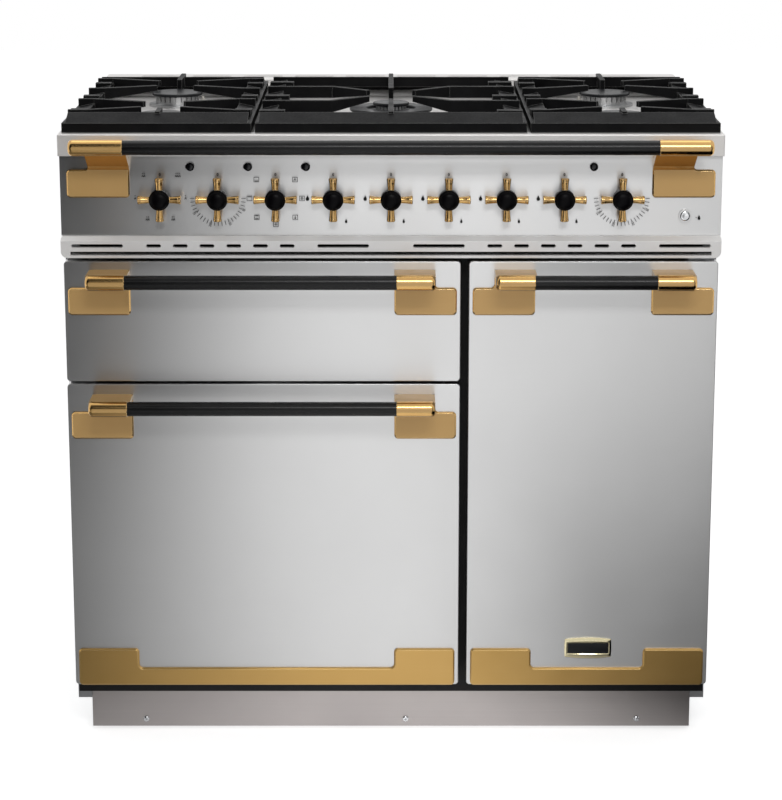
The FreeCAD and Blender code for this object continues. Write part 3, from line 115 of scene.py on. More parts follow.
def finish(name, dark, light, metallic, rough, grain, depth, patch, fine, fine_share=0.3, streak=0.35,
           edge=None, edge_size=0.0, anisotropy=0.0, turned=None, **sockets):
    """Procedural finish, kept in finishes under its name.

    dark and light are the two tones that slow patches run between, rough the two roughnesses,
    grain the noise scale along each axis, and depth the height of the grain in metres. patch and
    fine are the noise scales of the patches and of the specks, and fine_share the specks' share
    of the height. streak is how much of the darker tone the grain carries. edge is the tone laid
    on edges, partly as wear in specks and partly as a painted highlight, and edge_size their radius.
    anisotropy blurs reflections up and down, across the brushing. turned is the roughness of faces
    that lie neither level nor parallel to the front, which are polished.
    """
    material = bpy.data.materials.new(name)
    material.use_nodes = True
    tree = material.node_tree
    surface = tree.nodes["Principled BSDF"]
    where = add(tree, "ShaderNodeTexCoord").outputs["Object"]
    strands = noise(tree, where, grain, 4.0)
    patches = noise(tree, where, (patch, patch, patch), 3.0)
    specks = noise(tree, where, (fine, fine, fine), 2.0)
    tone = blended(tree, spread(tree, patches, 0.0, 1.0), dark, light)
    tone = blended(tree, spread(tree, strands, 0.0, streak), tone, dark)
    height = add(tree, "ShaderNodeMath", {0: strands, 1: specks}, operation="MULTIPLY_ADD")
    height.inputs[1].default_value = 1.0 - fine_share
    scaled = add(tree, "ShaderNodeMath", {0: specks, 1: fine_share}, operation="MULTIPLY")
    tree.links.new(scaled.outputs[0], height.inputs[2])
    bump = {"Height": height.outputs[0], "Strength": 1.0, "Distance": depth}
    if edge_size:
        rounded = add(tree, "ShaderNodeBevel", {"Radius": edge_size}, samples=4)
        bump["Normal"] = rounded.outputs["Normal"]
        if edge:
            flat = add(tree, "ShaderNodeNewGeometry").outputs["Normal"]
            match = add(tree, "ShaderNodeVectorMath", {0: rounded.outputs["Normal"], 1: flat},
                        operation="DOT_PRODUCT").outputs["Value"]
            # Edge tone on every rounded edge: partly wear, broken up by the specks, and partly a painted
            # highlight where edges catch light
            edge_wear_and_highlight = spread(tree, match, 0.8, 0.0, 0.9, 0.995)
            edge_wear_and_highlight = add(tree, "ShaderNodeMath", {0: edge_wear_and_highlight, 1: spread(tree, specks, 0.3, 1.0)},
                       operation="MULTIPLY").outputs[0]
            tone = blended(tree, edge_wear_and_highlight, tone, edge)
    normal = add(tree, "ShaderNodeBump", bump).outputs["Normal"]
    roughness = add(tree, "ShaderNodeMath", {
        0: spread(tree, strands, 0.5 * (rough[0] - rough[1]), 0.5 * (rough[1] - rough[0])),
        1: spread(tree, patches, *rough),
    }, operation="ADD").outputs[0]
    if turned:
        axes = add(tree, "ShaderNodeSeparateXYZ", {0: tree.nodes["Texture Coordinate"].outputs["Normal"]})
        level = add(tree, "ShaderNodeMath", {0: axes.outputs["Z"]}, operation="ABSOLUTE").outputs[0]
        upright = add(tree, "ShaderNodeMath", {0: axes.outputs["Y"]}, operation="ABSOLUTE").outputs[0]
        flatness = add(tree, "ShaderNodeMath", {0: level, 1: upright}, operation="MAXIMUM").outputs[0]
        flatness = spread(tree, flatness, 0.0, 1.0, 0.95, 0.995)
        polished = add(tree, "ShaderNodeMix", {0: flatness, 2: turned, 3: roughness}, data_type="FLOAT")
        roughness = polished.outputs[0]
        sheen = add(tree, "ShaderNodeMix", {0: flatness, 2: 1.0, 3: metallic}, data_type="FLOAT")
        tree.links.new(sheen.outputs[0], surface.inputs["Metallic"])
    tree.links.new(tone, surface.inputs["Base Color"])
    tree.links.new(roughness, surface.inputs["Roughness"])
    tree.links.new(normal, surface.inputs["Normal"])
    surface.inputs["Metallic"].default_value = metallic
    if anisotropy:
        tangent = add(tree, "ShaderNodeTangent", direction_type="RADIAL", axis="Z")
        tree.links.new(tangent.outputs["Tangent"], surface.inputs["Tangent"])
        surface.inputs["Anisotropic"].default_value = anisotropy
        surface.inputs["Anisotropic Rotation"].default_value = BRUSH_TURN
    for key, value in sockets.items():
        surface.inputs[key.replace("_", " ")].default_value = value
    finishes[name] = material


# The brushing runs sideways: its noise scales, and the turn of the anisotropy in full turns
BRUSHED = (4.0, 1500.0, 1500.0)
BRUSH_TURN = 0.25
finish(
    "stainless", colour(197, 197, 197), colour(203, 203, 203), 0.97, (0.3, 0.34), BRUSHED, 0.9e-6,
    patch=4.0, fine=2200.0, streak=0.2, anisotropy=0.85, edge_size=0.0006)
finish(
    "stainless_bright", colour(224, 222, 220), colour(232, 230, 228), 0.5, (0.4, 0.47), BRUSHED, 1.2e-6,
    patch=6.0, fine=2200.0, streak=0.2, edge_size=0.0008)
finish(
    "trim_steel", colour(230, 229, 228), colour(237, 236, 235), 0.25, (0.4, 0.47), BRUSHED, 1.2e-6,
    patch=6.0, fine=2200.0, streak=0.2, edge_size=0.0008)
finish(
    "plinth_steel", colour(172, 166, 165), colour(186, 180, 178), 1.0, (0.33, 0.42), BRUSHED, 4e-6,
    patch=5.0, fine=1500.0, anisotropy=0.4)
finish(
    "side_paint", colour(150, 151, 153), colour(160, 161, 163), 0.55, (0.42, 0.5),
    (700.0, 700.0, 700.0), 1.2e-5, patch=3.0, fine=2600.0, edge_size=0.0006)
finish(
    "galvanised", colour(148, 151, 154), colour(184, 187, 190), 0.9, (0.36, 0.5),
    (60.0, 60.0, 60.0), 1e-5, patch=55.0, fine=900.0)
finish(
    "brass", colour(199, 160, 100), colour(207, 168, 109), 0.2, (0.34, 0.4), BRUSHED, 1e-6,
    patch=10.0, fine=2200.0, streak=0.2, edge=colour(236, 218, 176), edge_size=0.001, turned=0.17)
finish(
    "brass_sheet", colour(185, 149, 88), colour(193, 157, 97), 0.92, (0.32, 0.36), BRUSHED, 1e-6,
    patch=8.0, fine=2200.0, streak=0.25, anisotropy=0.8, edge=colour(228, 204, 156),
    edge_size=0.001)
finish(
    "black_bar", colour(9, 9, 10), colour(14, 14, 15), 0.0, (0.24, 0.3), (30.0, 900.0, 900.0), 4e-6,
    patch=20.0, fine=2500.0, Specular_IOR_Level=0.25)
finish(
    "cast_iron", colour(14, 14, 15), colour(24, 24, 25), 0.0, (0.42, 0.56), (420.0, 420.0, 420.0), 4e-5,
    patch=30.0, fine=1300.0, fine_share=0.5, edge=colour(150, 150, 148), edge_size=0.0014,
    Specular_IOR_Level=0.07)
finish(
    "enamel", colour(30, 31, 33), colour(38, 39, 41), 0.0, (0.3, 0.4), (300.0, 300.0, 300.0), 2e-5,
    patch=24.0, fine=1500.0, Specular_IOR_Level=0.15)
finish(
    "black_frame", colour(10, 10, 11), colour(15, 15, 16), 0.0, (0.5, 0.62),
    (500.0, 500.0, 500.0), 1.5e-5, patch=8.0, fine=1800.0, Specular_IOR_Level=0.3)
finish(
    "chromed", colour(205, 206, 208), colour(220, 221, 223), 1.0, (0.08, 0.14),
    (60.0, 60.0, 60.0), 2e-6, patch=30.0, fine=1200.0)
finish(
    "pale_gold", colour(206, 196, 160), colour(222, 212, 178), 1.0, (0.14, 0.2),
    (60.0, 60.0, 60.0), 2e-6, patch=30.0, fine=1200.0, edge=colour(240, 232, 205), edge_size=0.0005)
finish(
    "aluminium", colour(176, 177, 178), colour(206, 206, 206), 1.0, (0.3, 0.42),
    (500.0, 500.0, 900.0), 1.4e-5, patch=40.0, fine=2400.0, edge_size=0.0005)
finish(
    "ceramic", colour(224, 220, 210), colour(236, 233, 226), 0.0, (0.22, 0.32),
    (300.0, 300.0, 300.0), 1e-5, patch=60.0, fine=1800.0)
finish(
    "rubber", colour(28, 27, 27), colour(38, 37, 37), 0.0, (0.66, 0.78), (400.0, 400.0, 400.0), 3e-5,
    patch=20.0, fine=1500.0)
finish(
    "lens", colour(10, 11, 15), colour(15, 17, 22), 0.0, (0.08, 0.13), (90.0, 90.0, 90.0), 2e-6,
    patch=80.0, fine=700.0, Specular_IOR_Level=0.35)
finish(
    "black_plastic", colour(5, 4, 6), colour(9, 8, 10), 0.0, (0.3, 0.38), (200.0, 200.0, 200.0), 4e-6,
    patch=60.0, fine=1500.0, Specular_IOR_Level=0.06)
finish(
    "element", colour(74, 70, 68), colour(104, 98, 92), 0.8, (0.45, 0.6), (350.0, 350.0, 350.0), 2e-5,
    patch=45.0, fine=1500.0)
finish(
    "print", colour(14, 14, 15), colour(22, 22, 23), 0.0, (0.5, 0.6), (900.0, 900.0, 900.0), 3e-6,
    patch=40.0, fine=2600.0, Specular_IOR_Level=0.2)

# Nodes that wear each finish
dress = {
    "stainless": ["control_panel", "grill_front_panel", "main_door_panel", "tall_door_panel"],
    "stainless_bright": ["hotplate", "rear_vent"],
    "trim_steel": ["vent_trim"],
    "plinth_steel": ["plinth"],
    "side_paint": ["side_panel_left", "side_panel_right"],
    "galvanised": ["base_frame", "rear_cover", "fan_motors", "hinge_brackets", "levelling_feet"],
    "brass": ["rail_brackets", "grill_handle_brackets", "main_handle_brackets", "tall_handle_brackets"],
    "brass_sheet": ["main_kick_plate", "tall_kick_plate", "gas_manifold"],
    "black_bar": ["front_rail", "grill_handle_bar", "main_handle_bar", "tall_handle_bar"],
    "cast_iron": ["pan_support_left", "pan_support_centre", "pan_support_right"],
    "enamel": ["grill_chamber", "main_oven_cavity", "tall_oven_cavity", "fan_covers", "grill_pan",
               "grill_front_liner", "main_door_liner", "tall_door_liner"],
    "black_frame": ["front_frame"],
    "chromed": ["oven_racks", "grill_trivet"],
    "aluminium": ["burner_heads", "main_oven_fan", "tall_oven_fan"],
    "ceramic": ["spark_electrodes"],
    "rubber": ["door_seals"],
    "black_plastic": ["control_bodies"],
    "element": ["heating_elements"],
}
for finish_name, node_names in dress.items():
    for node_name in node_names:
        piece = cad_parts[node_name]
        if not piece.material_slots:
            piece.data.materials.append(finishes[finish_name])
        for held in piece.material_slots:
            held.material = finishes[finish_name]


# Mesh helpers
def sized(pairs):
    """Pairs given in millimetres, in metres."""
    return [(first * MM, second * MM) for first, second in pairs]


def lathe(bm, profile, place, segments, finish_index=0):
    """Turned form: profile lists (radius, height) pairs, and place carries +Z of it into the scene."""
    rings = []
    for radius, height in profile:
        if radius <= 0:
            rings.append([bm.verts.new(place @ Vector((0, 0, height)))])
            continue
        rings.append([
            bm.verts.new(place @ Vector((radius * math.cos(angle), radius * math.sin(angle), height)))
            for angle in (2 * math.pi * index / segments for index in range(segments))])
    made = []
    for low, high in zip(rings, rings[1:]):
        for index in range(segments):
            after = (index + 1) % segments
            corners = [low[0]] if len(low) == 1 else [low[index], low[after]]
            corners += [high[0]] if len(high) == 1 else [high[after], high[index]]
            if len(corners) > 2:
                made.append(bm.faces.new(corners))
    for face in made:
        face.material_index = finish_index
        face.smooth = True


def ring_profile(inner, outer, low, high, soft):
    """Closed profile of a ring with softened edges, starting and ending at the same point."""
    return [(inner, low + soft), (inner + soft, low), (outer - soft, low), (outer, low + soft),
            (outer, high - soft), (outer - soft, high), (inner + soft, high), (inner, high - soft),
            (inner, low + soft)]


def prism(bm, outline, low, high, place):
    """Closed solid between two copies of an outline given in x and y."""
    bottom = [bm.verts.new(place @ Vector((x, y, low))) for x, y in outline]
    top = [bm.verts.new(place @ Vector((x, y, high))) for x, y in outline]
    bm.faces.new(list(reversed(bottom)))
    bm.faces.new(top)
    count = len(outline)
    for index in range(count):
        after = (index + 1) % count
        bm.faces.new([bottom[index], bottom[after], top[after], top[index]])


def ringed(bm, outer, inner, low, high, place):
    """Closed solid between two outlines with the same number of points."""
    count = len(outer)
    loops = [[bm.verts.new(place @ Vector((x, y, level))) for x, y in outline]
             for outline, level in ((outer, low), (outer, high), (inner, high), (inner, low))]
    for first, second in zip(loops, loops[1:] + loops[:1]):
        for index in range(count):
            after = (index + 1) % count
            bm.faces.new([first[index], first[after], second[after], second[index]])


def settle(name, bm, materials, body, replaced=(), sharp=35.0):
    """Turns a bmesh into a piece of the object that rides on a body. sharp is in degrees."""
    bmesh.ops.remove_doubles(bm, verts=bm.verts, dist=1e-7)
    bmesh.ops.recalc_face_normals(bm, faces=bm.faces)
    mesh = bpy.data.meshes.new(name)
    bm.to_mesh(mesh)
    bm.free()
    mesh.shade_smooth()
    mesh.set_sharp_from_angle(angle=math.radians(sharp))
    for material in materials:
        mesh.materials.append(finishes[material])
    made = bpy.data.objects.new(name, mesh)
    scene.collection.objects.link(made)
    bpy.context.view_layer.update()
    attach(made, body)
    if replaced:
        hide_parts(*replaced)


def facing(x, depth, z):
    """Place whose +Z points out of the front, +X to the right and +Y up."""
    return Matrix.Translation((x, depth, z)) @ Matrix.Rotation(math.radians(90), 4, "X")


def middle(node):
    """Middle of a node's box."""
    low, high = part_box(node)
    return (low + high) / 2


def arc(radius, start, end, steps):
    """Points of an arc round the origin, with its angles in degrees."""
    turns = [math.radians(start + (end - start) * step / steps) for step in range(steps + 1)]
    return [(radius * math.cos(turn), radius * math.sin(turn)) for turn in turns]


# Knobs, in millimetres: a hub with a rounded shoulder and a low crown, four turned arms and a dot
knob_centres = [middle(f"knob_{number}") for number in range(1, 10)]
HUB = 14.0
HUB_RISE = 26.0
SHOULDER = 3.4
SHOULDER_LEVEL = 17.6
ARM_LEVEL = 13.0
ARM_REACH = 29.3
DOT_OUT = 8.2
DOT_DROP = 2.6
DOT_TILT = -24
hub_profile = [(0, 1.0), (10.5, 1.0), (11.2, 1.6), (11.2, 4.0), (12.6, 5.2), (HUB, 7.4),
               (HUB, SHOULDER_LEVEL)]
hub_profile += [(HUB - SHOULDER + x, SHOULDER_LEVEL + y) for x, y in arc(SHOULDER, 0, 66, 6)]
crown, crown_level = hub_profile[-1]
for turn in (math.radians(angle) for angle in range(15, 90, 15)):
    level = crown_level + (HUB_RISE - crown_level) * math.sin(turn)
    hub_profile.append((crown * math.cos(turn), level))
hub_profile = sized(hub_profile + [(0, HUB_RISE)])
arm_profile = sized([(0, 9.0), (4.0, 9.0), (4.4, 14.2), (4.6, 18.0), (5.2, 23.6), (5.5, 24.6), (5.5, 25.2),
                     (5.1, 25.5), (5.1, 25.9), (5.7, 26.2), (5.8, 28.4), (5.2, ARM_REACH), (0, ARM_REACH)])
dot_profile = sized([(0, -0.6), (0.75, -0.6), (0.75, 0.3), (0.5, 0.5), (0, 0.5)])
for number, centre in enumerate(knob_centres, 1):
    seat = facing(centre.x, panel_face, centre.z)
    bm = bmesh.new()
    lathe(bm, hub_profile, seat, 56, 0)
    for quarter in range(4):
        out = Matrix.Rotation(math.radians(90 * quarter), 4, "Z") @ Matrix.Rotation(math.radians(90), 4, "Y")
        lathe(bm, arm_profile, seat @ Matrix.Translation((0, 0, ARM_LEVEL * MM)) @ out, 28, 1)
    dot = seat @ Matrix.Translation((0, DOT_OUT * MM, (HUB_RISE - DOT_DROP) * MM))
    lathe(bm, dot_profile, dot @ Matrix.Rotation(math.radians(DOT_TILT), 4, "X"), 16, 2)
    settle(f"turned_knob_{number}", bm, ["black_plastic", "brass", "ceramic"], f"knob_{number}_body",
           [f"knob_{number}"])

# Indicator lamps, in millimetres: a stem through the panel, a rim and a domed lens
LAMP_SIDES = (-271.4, -193.2, -114.9, 274.4)
LAMP = 5.5
LAMP_STEM = 4.5
LAMP_DEPTH = 14.0
LAMP_LENS = LAMP - 1.1
rim_profile = sized([(LAMP_STEM, -LAMP_DEPTH), (LAMP_STEM, -0.2), (LAMP_STEM, 0.05), (LAMP, 0.05),
                     (LAMP, 0.9), (LAMP - 0.4, 1.3), (LAMP - 0.9, 1.3), (LAMP_LENS, 0.8), (LAMP_LENS, 0.5)])
end_profile = sized([(0, -LAMP_DEPTH), (LAMP_STEM, -LAMP_DEPTH)])
lens_profile = sized([(LAMP_LENS, 0.5), (3.6, 1.05), (2.2, 1.4), (0, 1.5)])
lamp_level = middle("indicator_lamps").z
bm = bmesh.new()
for side in LAMP_SIDES:
    seat = facing(side * MM, panel_face, lamp_level)
    for profile, finish_index in ((rim_profile, 0), (end_profile, 0), (lens_profile, 1)):
        lathe(bm, profile, seat, 40, finish_index)
settle("panel_lamps", bm, ["black_plastic", "lens"], CARCASS, ["indicator_lamps"])

# Spark button, in millimetres: a thin spindle and a head with a shallow dish
low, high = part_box("igniter_button")
button = (low + high) / 2
back = (panel_face - high.y) / MM
rise = (panel_face - low.y) / MM
bm = bmesh.new()
lathe(bm, sized([(0, back), (3.0, back), (3.0, -1.0), (6.3, 0.4), (6.5, 0.6), (6.5, rise - 1.4),
                 (6.1, rise - 0.5), (5.2, rise), (4.0, rise - 0.05), (2.0, rise - 0.5), (0, rise - 0.7)]),
      facing(button.x, panel_face, button.z), 40)
settle("push_button", bm, ["chromed"], "spark_button", ["igniter_button"])

# Burner caps, in millimetres: four side burners, and the middle one with a ring round its core
CAP_RISE = 4.5
BURNER_SIDE = 318.0
BURNER_DEPTHS = (128.0, 372.0)
MIDDLE_DEPTH = 250.0
SIDE_RADIUS, SIDE_LEVEL = 37.0, 877.4
CORE_RADIUS, CORE_LEVEL = 26.0, 878.0
RING_INNER, RING_OUTER, RING_SOFT, RING_LEVEL = 35.0, 59.5, 1.2, 870.0


def cap_profile(radius):
    """Flat cap with a softened foot, a rounded rim and a top that sinks a little to its middle."""
    return sized([(0, 0), (radius - 1.2, 0), (radius - 0.3, 0.5), (radius, 1.5), (radius, CAP_RISE - 1.6),
                  (radius - 0.5, CAP_RISE - 0.7), (radius - 1.6, CAP_RISE - 0.1), (radius - 2.6, CAP_RISE),
                  (radius - 4.4, CAP_RISE - 0.15), (radius * 0.5, CAP_RISE - 0.35), (0, CAP_RISE - 0.4)])


def over_hob(x, depth, level):
    """Place at a side, a depth behind the door faces and a height, in millimetres."""
    return Matrix.Translation((x * MM, door_face + depth * MM, level * MM))


bm = bmesh.new()
for side in (-BURNER_SIDE, BURNER_SIDE):
    for depth in BURNER_DEPTHS:
        lathe(bm, cap_profile(SIDE_RADIUS), over_hob(side, depth, SIDE_LEVEL), 80)
lathe(bm, cap_profile(CORE_RADIUS), over_hob(0, MIDDLE_DEPTH, CORE_LEVEL), 64)
lathe(bm, sized(ring_profile(RING_INNER, RING_OUTER, 0, CAP_RISE, RING_SOFT)),
      over_hob(0, MIDDLE_DEPTH, RING_LEVEL), 96)
settle("enamel_caps", bm, ["enamel"], CARCASS, ["burner_caps"])

# Plinth screws, in millimetres: a shank and a domed head with a socket
SCREW_SIDES = (-352.0, 21.0, 353.0)
SCREW_HEAD = 2.0
SCREW_LENGTH = 8.0
screw_profile = sized([(0, -SCREW_LENGTH), (2.0, -SCREW_LENGTH), (2.0, 0), (4.3, 0), (4.5, 0.4), (4.0, 1.3),
                       (2.9, 1.85), (1.6, SCREW_HEAD), (1.5, 1.9), (0.6, 0.7), (0, 0.6)])
screw_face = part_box("plinth_screws")[0].y + SCREW_HEAD * MM
bm = bmesh.new()
for side in SCREW_SIDES:
    lathe(bm, screw_profile, facing(side * MM, screw_face, middle("plinth_screws").z), 32)
settle("plinth_fixings", bm, ["chromed"], CARCASS, ["plinth_screws"])

# Print on the panel: thin solids that start just inside its face
INK = 0.12 * MM
SUNK = -0.02 * MM
STROKE = 0.8 * MM
FINE_STROKE = 0.7 * MM
marks = bmesh.new()


def mark_place(x, z):
    """Place on the panel's face."""
    return facing(x, panel_face, z)


def bar(x, z, length, width, angle):
    """Short printed line centred on a point, at an angle from the horizontal."""
    place = mark_place(x, z) @ Matrix.Rotation(math.radians(angle), 4, "Z")
    half, side = length / 2, width / 2
    prism(marks, [(-half, -side), (half, -side), (half, side), (-half, side)], SUNK, INK, place)


def outline_box(x, z, width, height, line):
    """Printed frame."""
    outer = [(sx * width / 2, sy * height / 2) for sx, sy in ((-1, -1), (1, -1), (1, 1), (-1, 1))]
    inner = [(px * (1 - 2 * line / width), py * (1 - 2 * line / height)) for px, py in outer]
    ringed(marks, outer, inner, SUNK, INK, mark_place(x, z))


def loop(x, z, wide, tall, line, points=20):
    """Printed oval ring."""
    circle = arc(0.5, 0, 360 * (1 - 1 / points), points - 1)
    outer = [(wide * px, tall * py) for px, py in circle]
    inner = [((wide - 2 * line) * px, (tall - 2 * line) * py) for px, py in circle]
    ringed(marks, outer, inner, SUNK, INK, mark_place(x, z))


def dot_mark(x, z, radius):
    """Printed dot with twelve sides."""
    prism(marks, arc(radius, 0, 330, 11), SUNK, INK, mark_place(x, z))


def flame(x, z, wide, tall):
    """Solid flame with a leaning tip and a round foot."""
    shape = [(0.05, 0.5), (0.2, 0.22), (0.42, -0.02), (0.5, -0.24), (0.36, -0.43), (0.12, -0.5),
             (-0.14, -0.5), (-0.38, -0.42), (-0.5, -0.22), (-0.42, 0.0), (-0.22, 0.18), (-0.1, 0.3)]
    prism(marks, [(wide * px, tall * py) for px, py in shape], SUNK, INK, mark_place(x, z))


def digits(text, x, z, height, angle):
    """Plain number from the built-in font, laid on the panel as a thin solid.

    A digit of that font stands about 1 / 1.4 of its size high.
    """
    curve = bpy.data.curves.new("number", "FONT")
    curve.body = text
    curve.size = height * 1.4
    curve.align_x = "CENTER"
    curve.align_y = "CENTER"
    curve.extrude = INK / 2
    holder = bpy.data.objects.new("number", curve)
    scene.collection.objects.link(holder)
    bpy.context.view_layer.update()
    mesh = bpy.data.meshes.new_from_object(holder)
    mesh.transform(mark_place(x, z) @ Matrix.Translation((0, 0, INK / 2)) @
                   Matrix.Rotation(math.radians(angle), 4, "Z"))
    marks.from_mesh(mesh)
    bpy.data.objects.remove(holder)
    bpy.data.meshes.remove(mesh)


def around(centre, radius, clock):
    """Point at a clockwise angle from the top of a knob."""
    angle = math.radians(90 - clock)
    return centre.x + radius * math.cos(angle), centre.z + radius * math.sin(angle)


# Ring that marks the off position above each knob
ZERO_UP = 32.6 * MM
for centre in knob_centres:
    loop(centre.x, centre.z + ZERO_UP, 2.6 * MM, 3.7 * MM, 0.75 * MM)

# Oven scales round knobs 2 and 9: ticks between two radii, shorter where a number stands outside
SCALE_START = 90.0
SCALE_STEPS = 22
SCALE_STEP = 180.0 / SCALE_STEPS
TICK, SHORT_TICK = (31.8, 37.8), (31.0, 34.0)
NUMBERS = ("100", "150", "200", "250")
FIRST_NUMBER = 3
NUMBER_EVERY = 5
NUMBER_RADIUS = 37.0 * MM
NUMBER_HEIGHT = 3.3 * MM
for centre in (knob_centres[1], knob_centres[8]):
    for step in range(SCALE_STEPS + 1):
        clock = SCALE_START + step * SCALE_STEP
        inner, outer = SHORT_TICK if step % NUMBER_EVERY == FIRST_NUMBER else TICK
        x, z = around(centre, (inner + outer) / 2 * MM, clock)
        bar(x, z, (outer - inner) * MM, FINE_STROKE, 90 - clock)
    for order, number in enumerate(NUMBERS):
        clock = SCALE_START + (FIRST_NUMBER + NUMBER_EVERY * order) * SCALE_STEP
        x, z = around(centre, NUMBER_RADIUS, clock)
        digits(number, x, z, NUMBER_HEIGHT, 90 - clock + (0 if clock < 180 else 180))

# Large and small flame by each burner knob, as side, rise, width and height
FLAMES = [(-35.0, 0.5, 4.8, 7.4), (17.3, -31.0, 3.4, 5.6)]
for centre in knob_centres[3:8]:
    for dx, dz, wide, tall in FLAMES:
        flame(centre.x + dx * MM, centre.z + dz * MM, wide * MM, tall * MM)

# Signs of the oven's modes round knob 3, each in a frame
centre = knob_centres[2]
FRAME_WIDE, FRAME_TALL, FRAME_LINE = 7.2 * MM, 6.8 * MM, 0.6 * MM
ELEMENT_LINE, ELEMENT_RISE = 4.4 * MM, 2.0 * MM
MODES = [(-25.8, 25.8, "low"), (26.4, 25.8, "fan"), (-35.4, 0.0, "top"), (35.8, 0.0, "ring"),
         (-25.8, -26.0, "both"), (26.4, -26.0, "arrow"), (0.0, -35.6, "grid")]
for dx, dz, kind in MODES:
    x, z = centre.x + dx * MM, centre.z + dz * MM
    outline_box(x, z, FRAME_WIDE, FRAME_TALL, FRAME_LINE)
    if kind in ("low", "both"):
        bar(x, z - ELEMENT_RISE, ELEMENT_LINE, STROKE, 0)
    if kind in ("top", "both"):
        bar(x, z + ELEMENT_RISE, ELEMENT_LINE, STROKE, 0)
    if kind == "fan":
        for angle in (90, 210, 330):
            px, pz = 1.1 * math.cos(math.radians(angle)), 1.1 * math.sin(math.radians(angle))
            bar(x + px * MM, z + pz * MM, 2.0 * MM, STROKE, angle)
    if kind == "ring":
        loop(x, z, 3.6 * MM, 3.6 * MM, 0.6 * MM)
        dot_mark(x, z, 0.6 * MM)
    if kind == "arrow":
        bar(x, z, 3.6 * MM, FINE_STROKE, 90)
        for side, angle in ((-1, 135), (1, 45)):
            bar(x + side * 0.7 * MM, z - 1.1 * MM, 1.8 * MM, FINE_STROKE, angle)
    if kind == "grid":
        bar(x, z + 0.2 * MM, 0.7 * MM, 4.0 * MM, 0)
        bar(x, z + 0.2 * MM, 4.6 * MM, 0.7 * MM, 0)

# Grill settings round knob 1: one to three dots over as many arrowheads
centre = knob_centres[0]
SETTINGS = [(-22.0, 31.0, 2), (24.5, 31.0, 3), (-33.8, 0.6, 1), (34.4, 0.6, 1), (-17.5, -28.5, 2),
            (17.0, -28.5, 2)]
DOT_PITCH, DOT_RISE, DOT = 2.3 * MM, 3.2 * MM, 0.62 * MM
HEAD_PITCH, HEAD_OUT, HEAD_LINE = 2.6 * MM, 0.6 * MM, 2.6 * MM
for dx, dz, dots in SETTINGS:
    x, z = centre.x + dx * MM, centre.z + dz * MM
    for index in range(dots):
        dot_mark(x + (index - (dots - 1) / 2) * DOT_PITCH, z + DOT_RISE, DOT)
    for index in range(dots):
        px = x + (index - (dots - 1) / 2) * HEAD_PITCH
        for side, angle in ((-1, 64), (1, 116)):
            bar(px + side * HEAD_OUT, z - HEAD_OUT, HEAD_LINE, STROKE, angle)

# Spark sign by the button
sign_level = button.z - 2.0 * MM
flame(button.x + 19.0 * MM, sign_level, 3.6 * MM, 6.6 * MM)
bar(button.x + 15.0 * MM, sign_level, 2.0 * MM, 0.5 * MM, 0)
settle("panel_marks", marks, ["print"], CARCASS, sharp=20.0)


# Badge on the tall door, in millimetres: a blank plate with a dark inset
BADGE_SIDE, BADGE_LEVEL = 277.5, 142.0
INSET_SIDE, INSET_RISE, INSET_ROUND = 27.0, 5.9, 1.4


def barrel(wide, tall, bulge, points=14):
    """Plate outline with bulging top and bottom and slightly bulging sides."""
    outline = []
    for index in range(points + 1):
        share = 2 * index / points - 1
        outline.append((share * wide / 2, -tall / 2 - bulge * (1 - share * share)))
    for index in range(1, 6):
        share = 2 * index / 6 - 1
        outline.append((wide / 2 + bulge * 0.25 * (1 - share * share), share * tall / 2))
    for index in range(points, -1, -1):
        share = 2 * index / points - 1
        outline.append((share * wide / 2, tall / 2 + bulge * (1 - share * share)))
    for index in range(5, 0, -1):
        share = 2 * index / 6 - 1
        outline.append((-wide / 2 - bulge * 0.25 * (1 - share * share), share * tall / 2))
    return outline


def plate_stack(bm, layers, place):
    """Solid through outlines with equal point counts, each with its level, closed at both ends."""
    loops = [[bm.verts.new(place @ Vector((x, y, level * MM))) for x, y in sized(outline)]
             for outline, level in layers]
    bm.faces.new(list(reversed(loops[0])))
    bm.faces.new(loops[-1])
    for first, second in zip(loops, loops[1:]):
        for index in range(len(first)):
            after = (index + 1) % len(first)
            bm.faces.new([first[index], first[after], second[after], second[index]])


# Layers of the plate as width, height, bulge and level
RIM = [(64.4, 25.4, 2.4, 0.0), (65.0, 26.0, 2.4, 0.4), (65.0, 26.0, 2.4, 1.6), (61.6, 21.4, 1.8, 2.6),
       (60.0, 17.6, 0.5, 2.8), (59.0, 16.6, 0.0, 2.2)]
seat = facing(BADGE_SIDE * MM, door_face, BADGE_LEVEL * MM)
bm = bmesh.new()
plate_stack(bm, [(barrel(wide, tall, bulge), level) for wide, tall, bulge, level in RIM], seat)
settle("door_badge", bm, ["pale_gold"], "tall_door", sharp=18.0)

rounded = [(sx * INSET_SIDE + px, sy * INSET_RISE + py)
           for sx, sy, start in ((1, 1, 0), (-1, 1, 90), (-1, -1, 180), (1, -1, 270))
           for px, py in arc(INSET_ROUND, start, start + 90, 4)]
softened = [(x * 0.985, y * 0.94) for x, y in rounded]
bm = bmesh.new()
plate_stack(bm, [(rounded, 2.1), (rounded, 2.45), (softened, 2.6)], seat)
settle("door_badge_inset", bm, ["enamel"], "tall_door")


# Floor, light and camera
def seen_rays(tree):
    """One for rays that the camera, a reflection or a clear piece sees, and nothing for light."""
    rays = add(tree, "ShaderNodeLightPath")
    seen = add(tree, "ShaderNodeMath", {0: rays.outputs["Is Camera Ray"], 1: rays.outputs["Is Glossy Ray"]},
               operation="MAXIMUM")
    return add(tree, "ShaderNodeMath", {0: seen.outputs[0], 1: rays.outputs["Is Transmission Ray"]},
               operation="MAXIMUM").outputs[0]


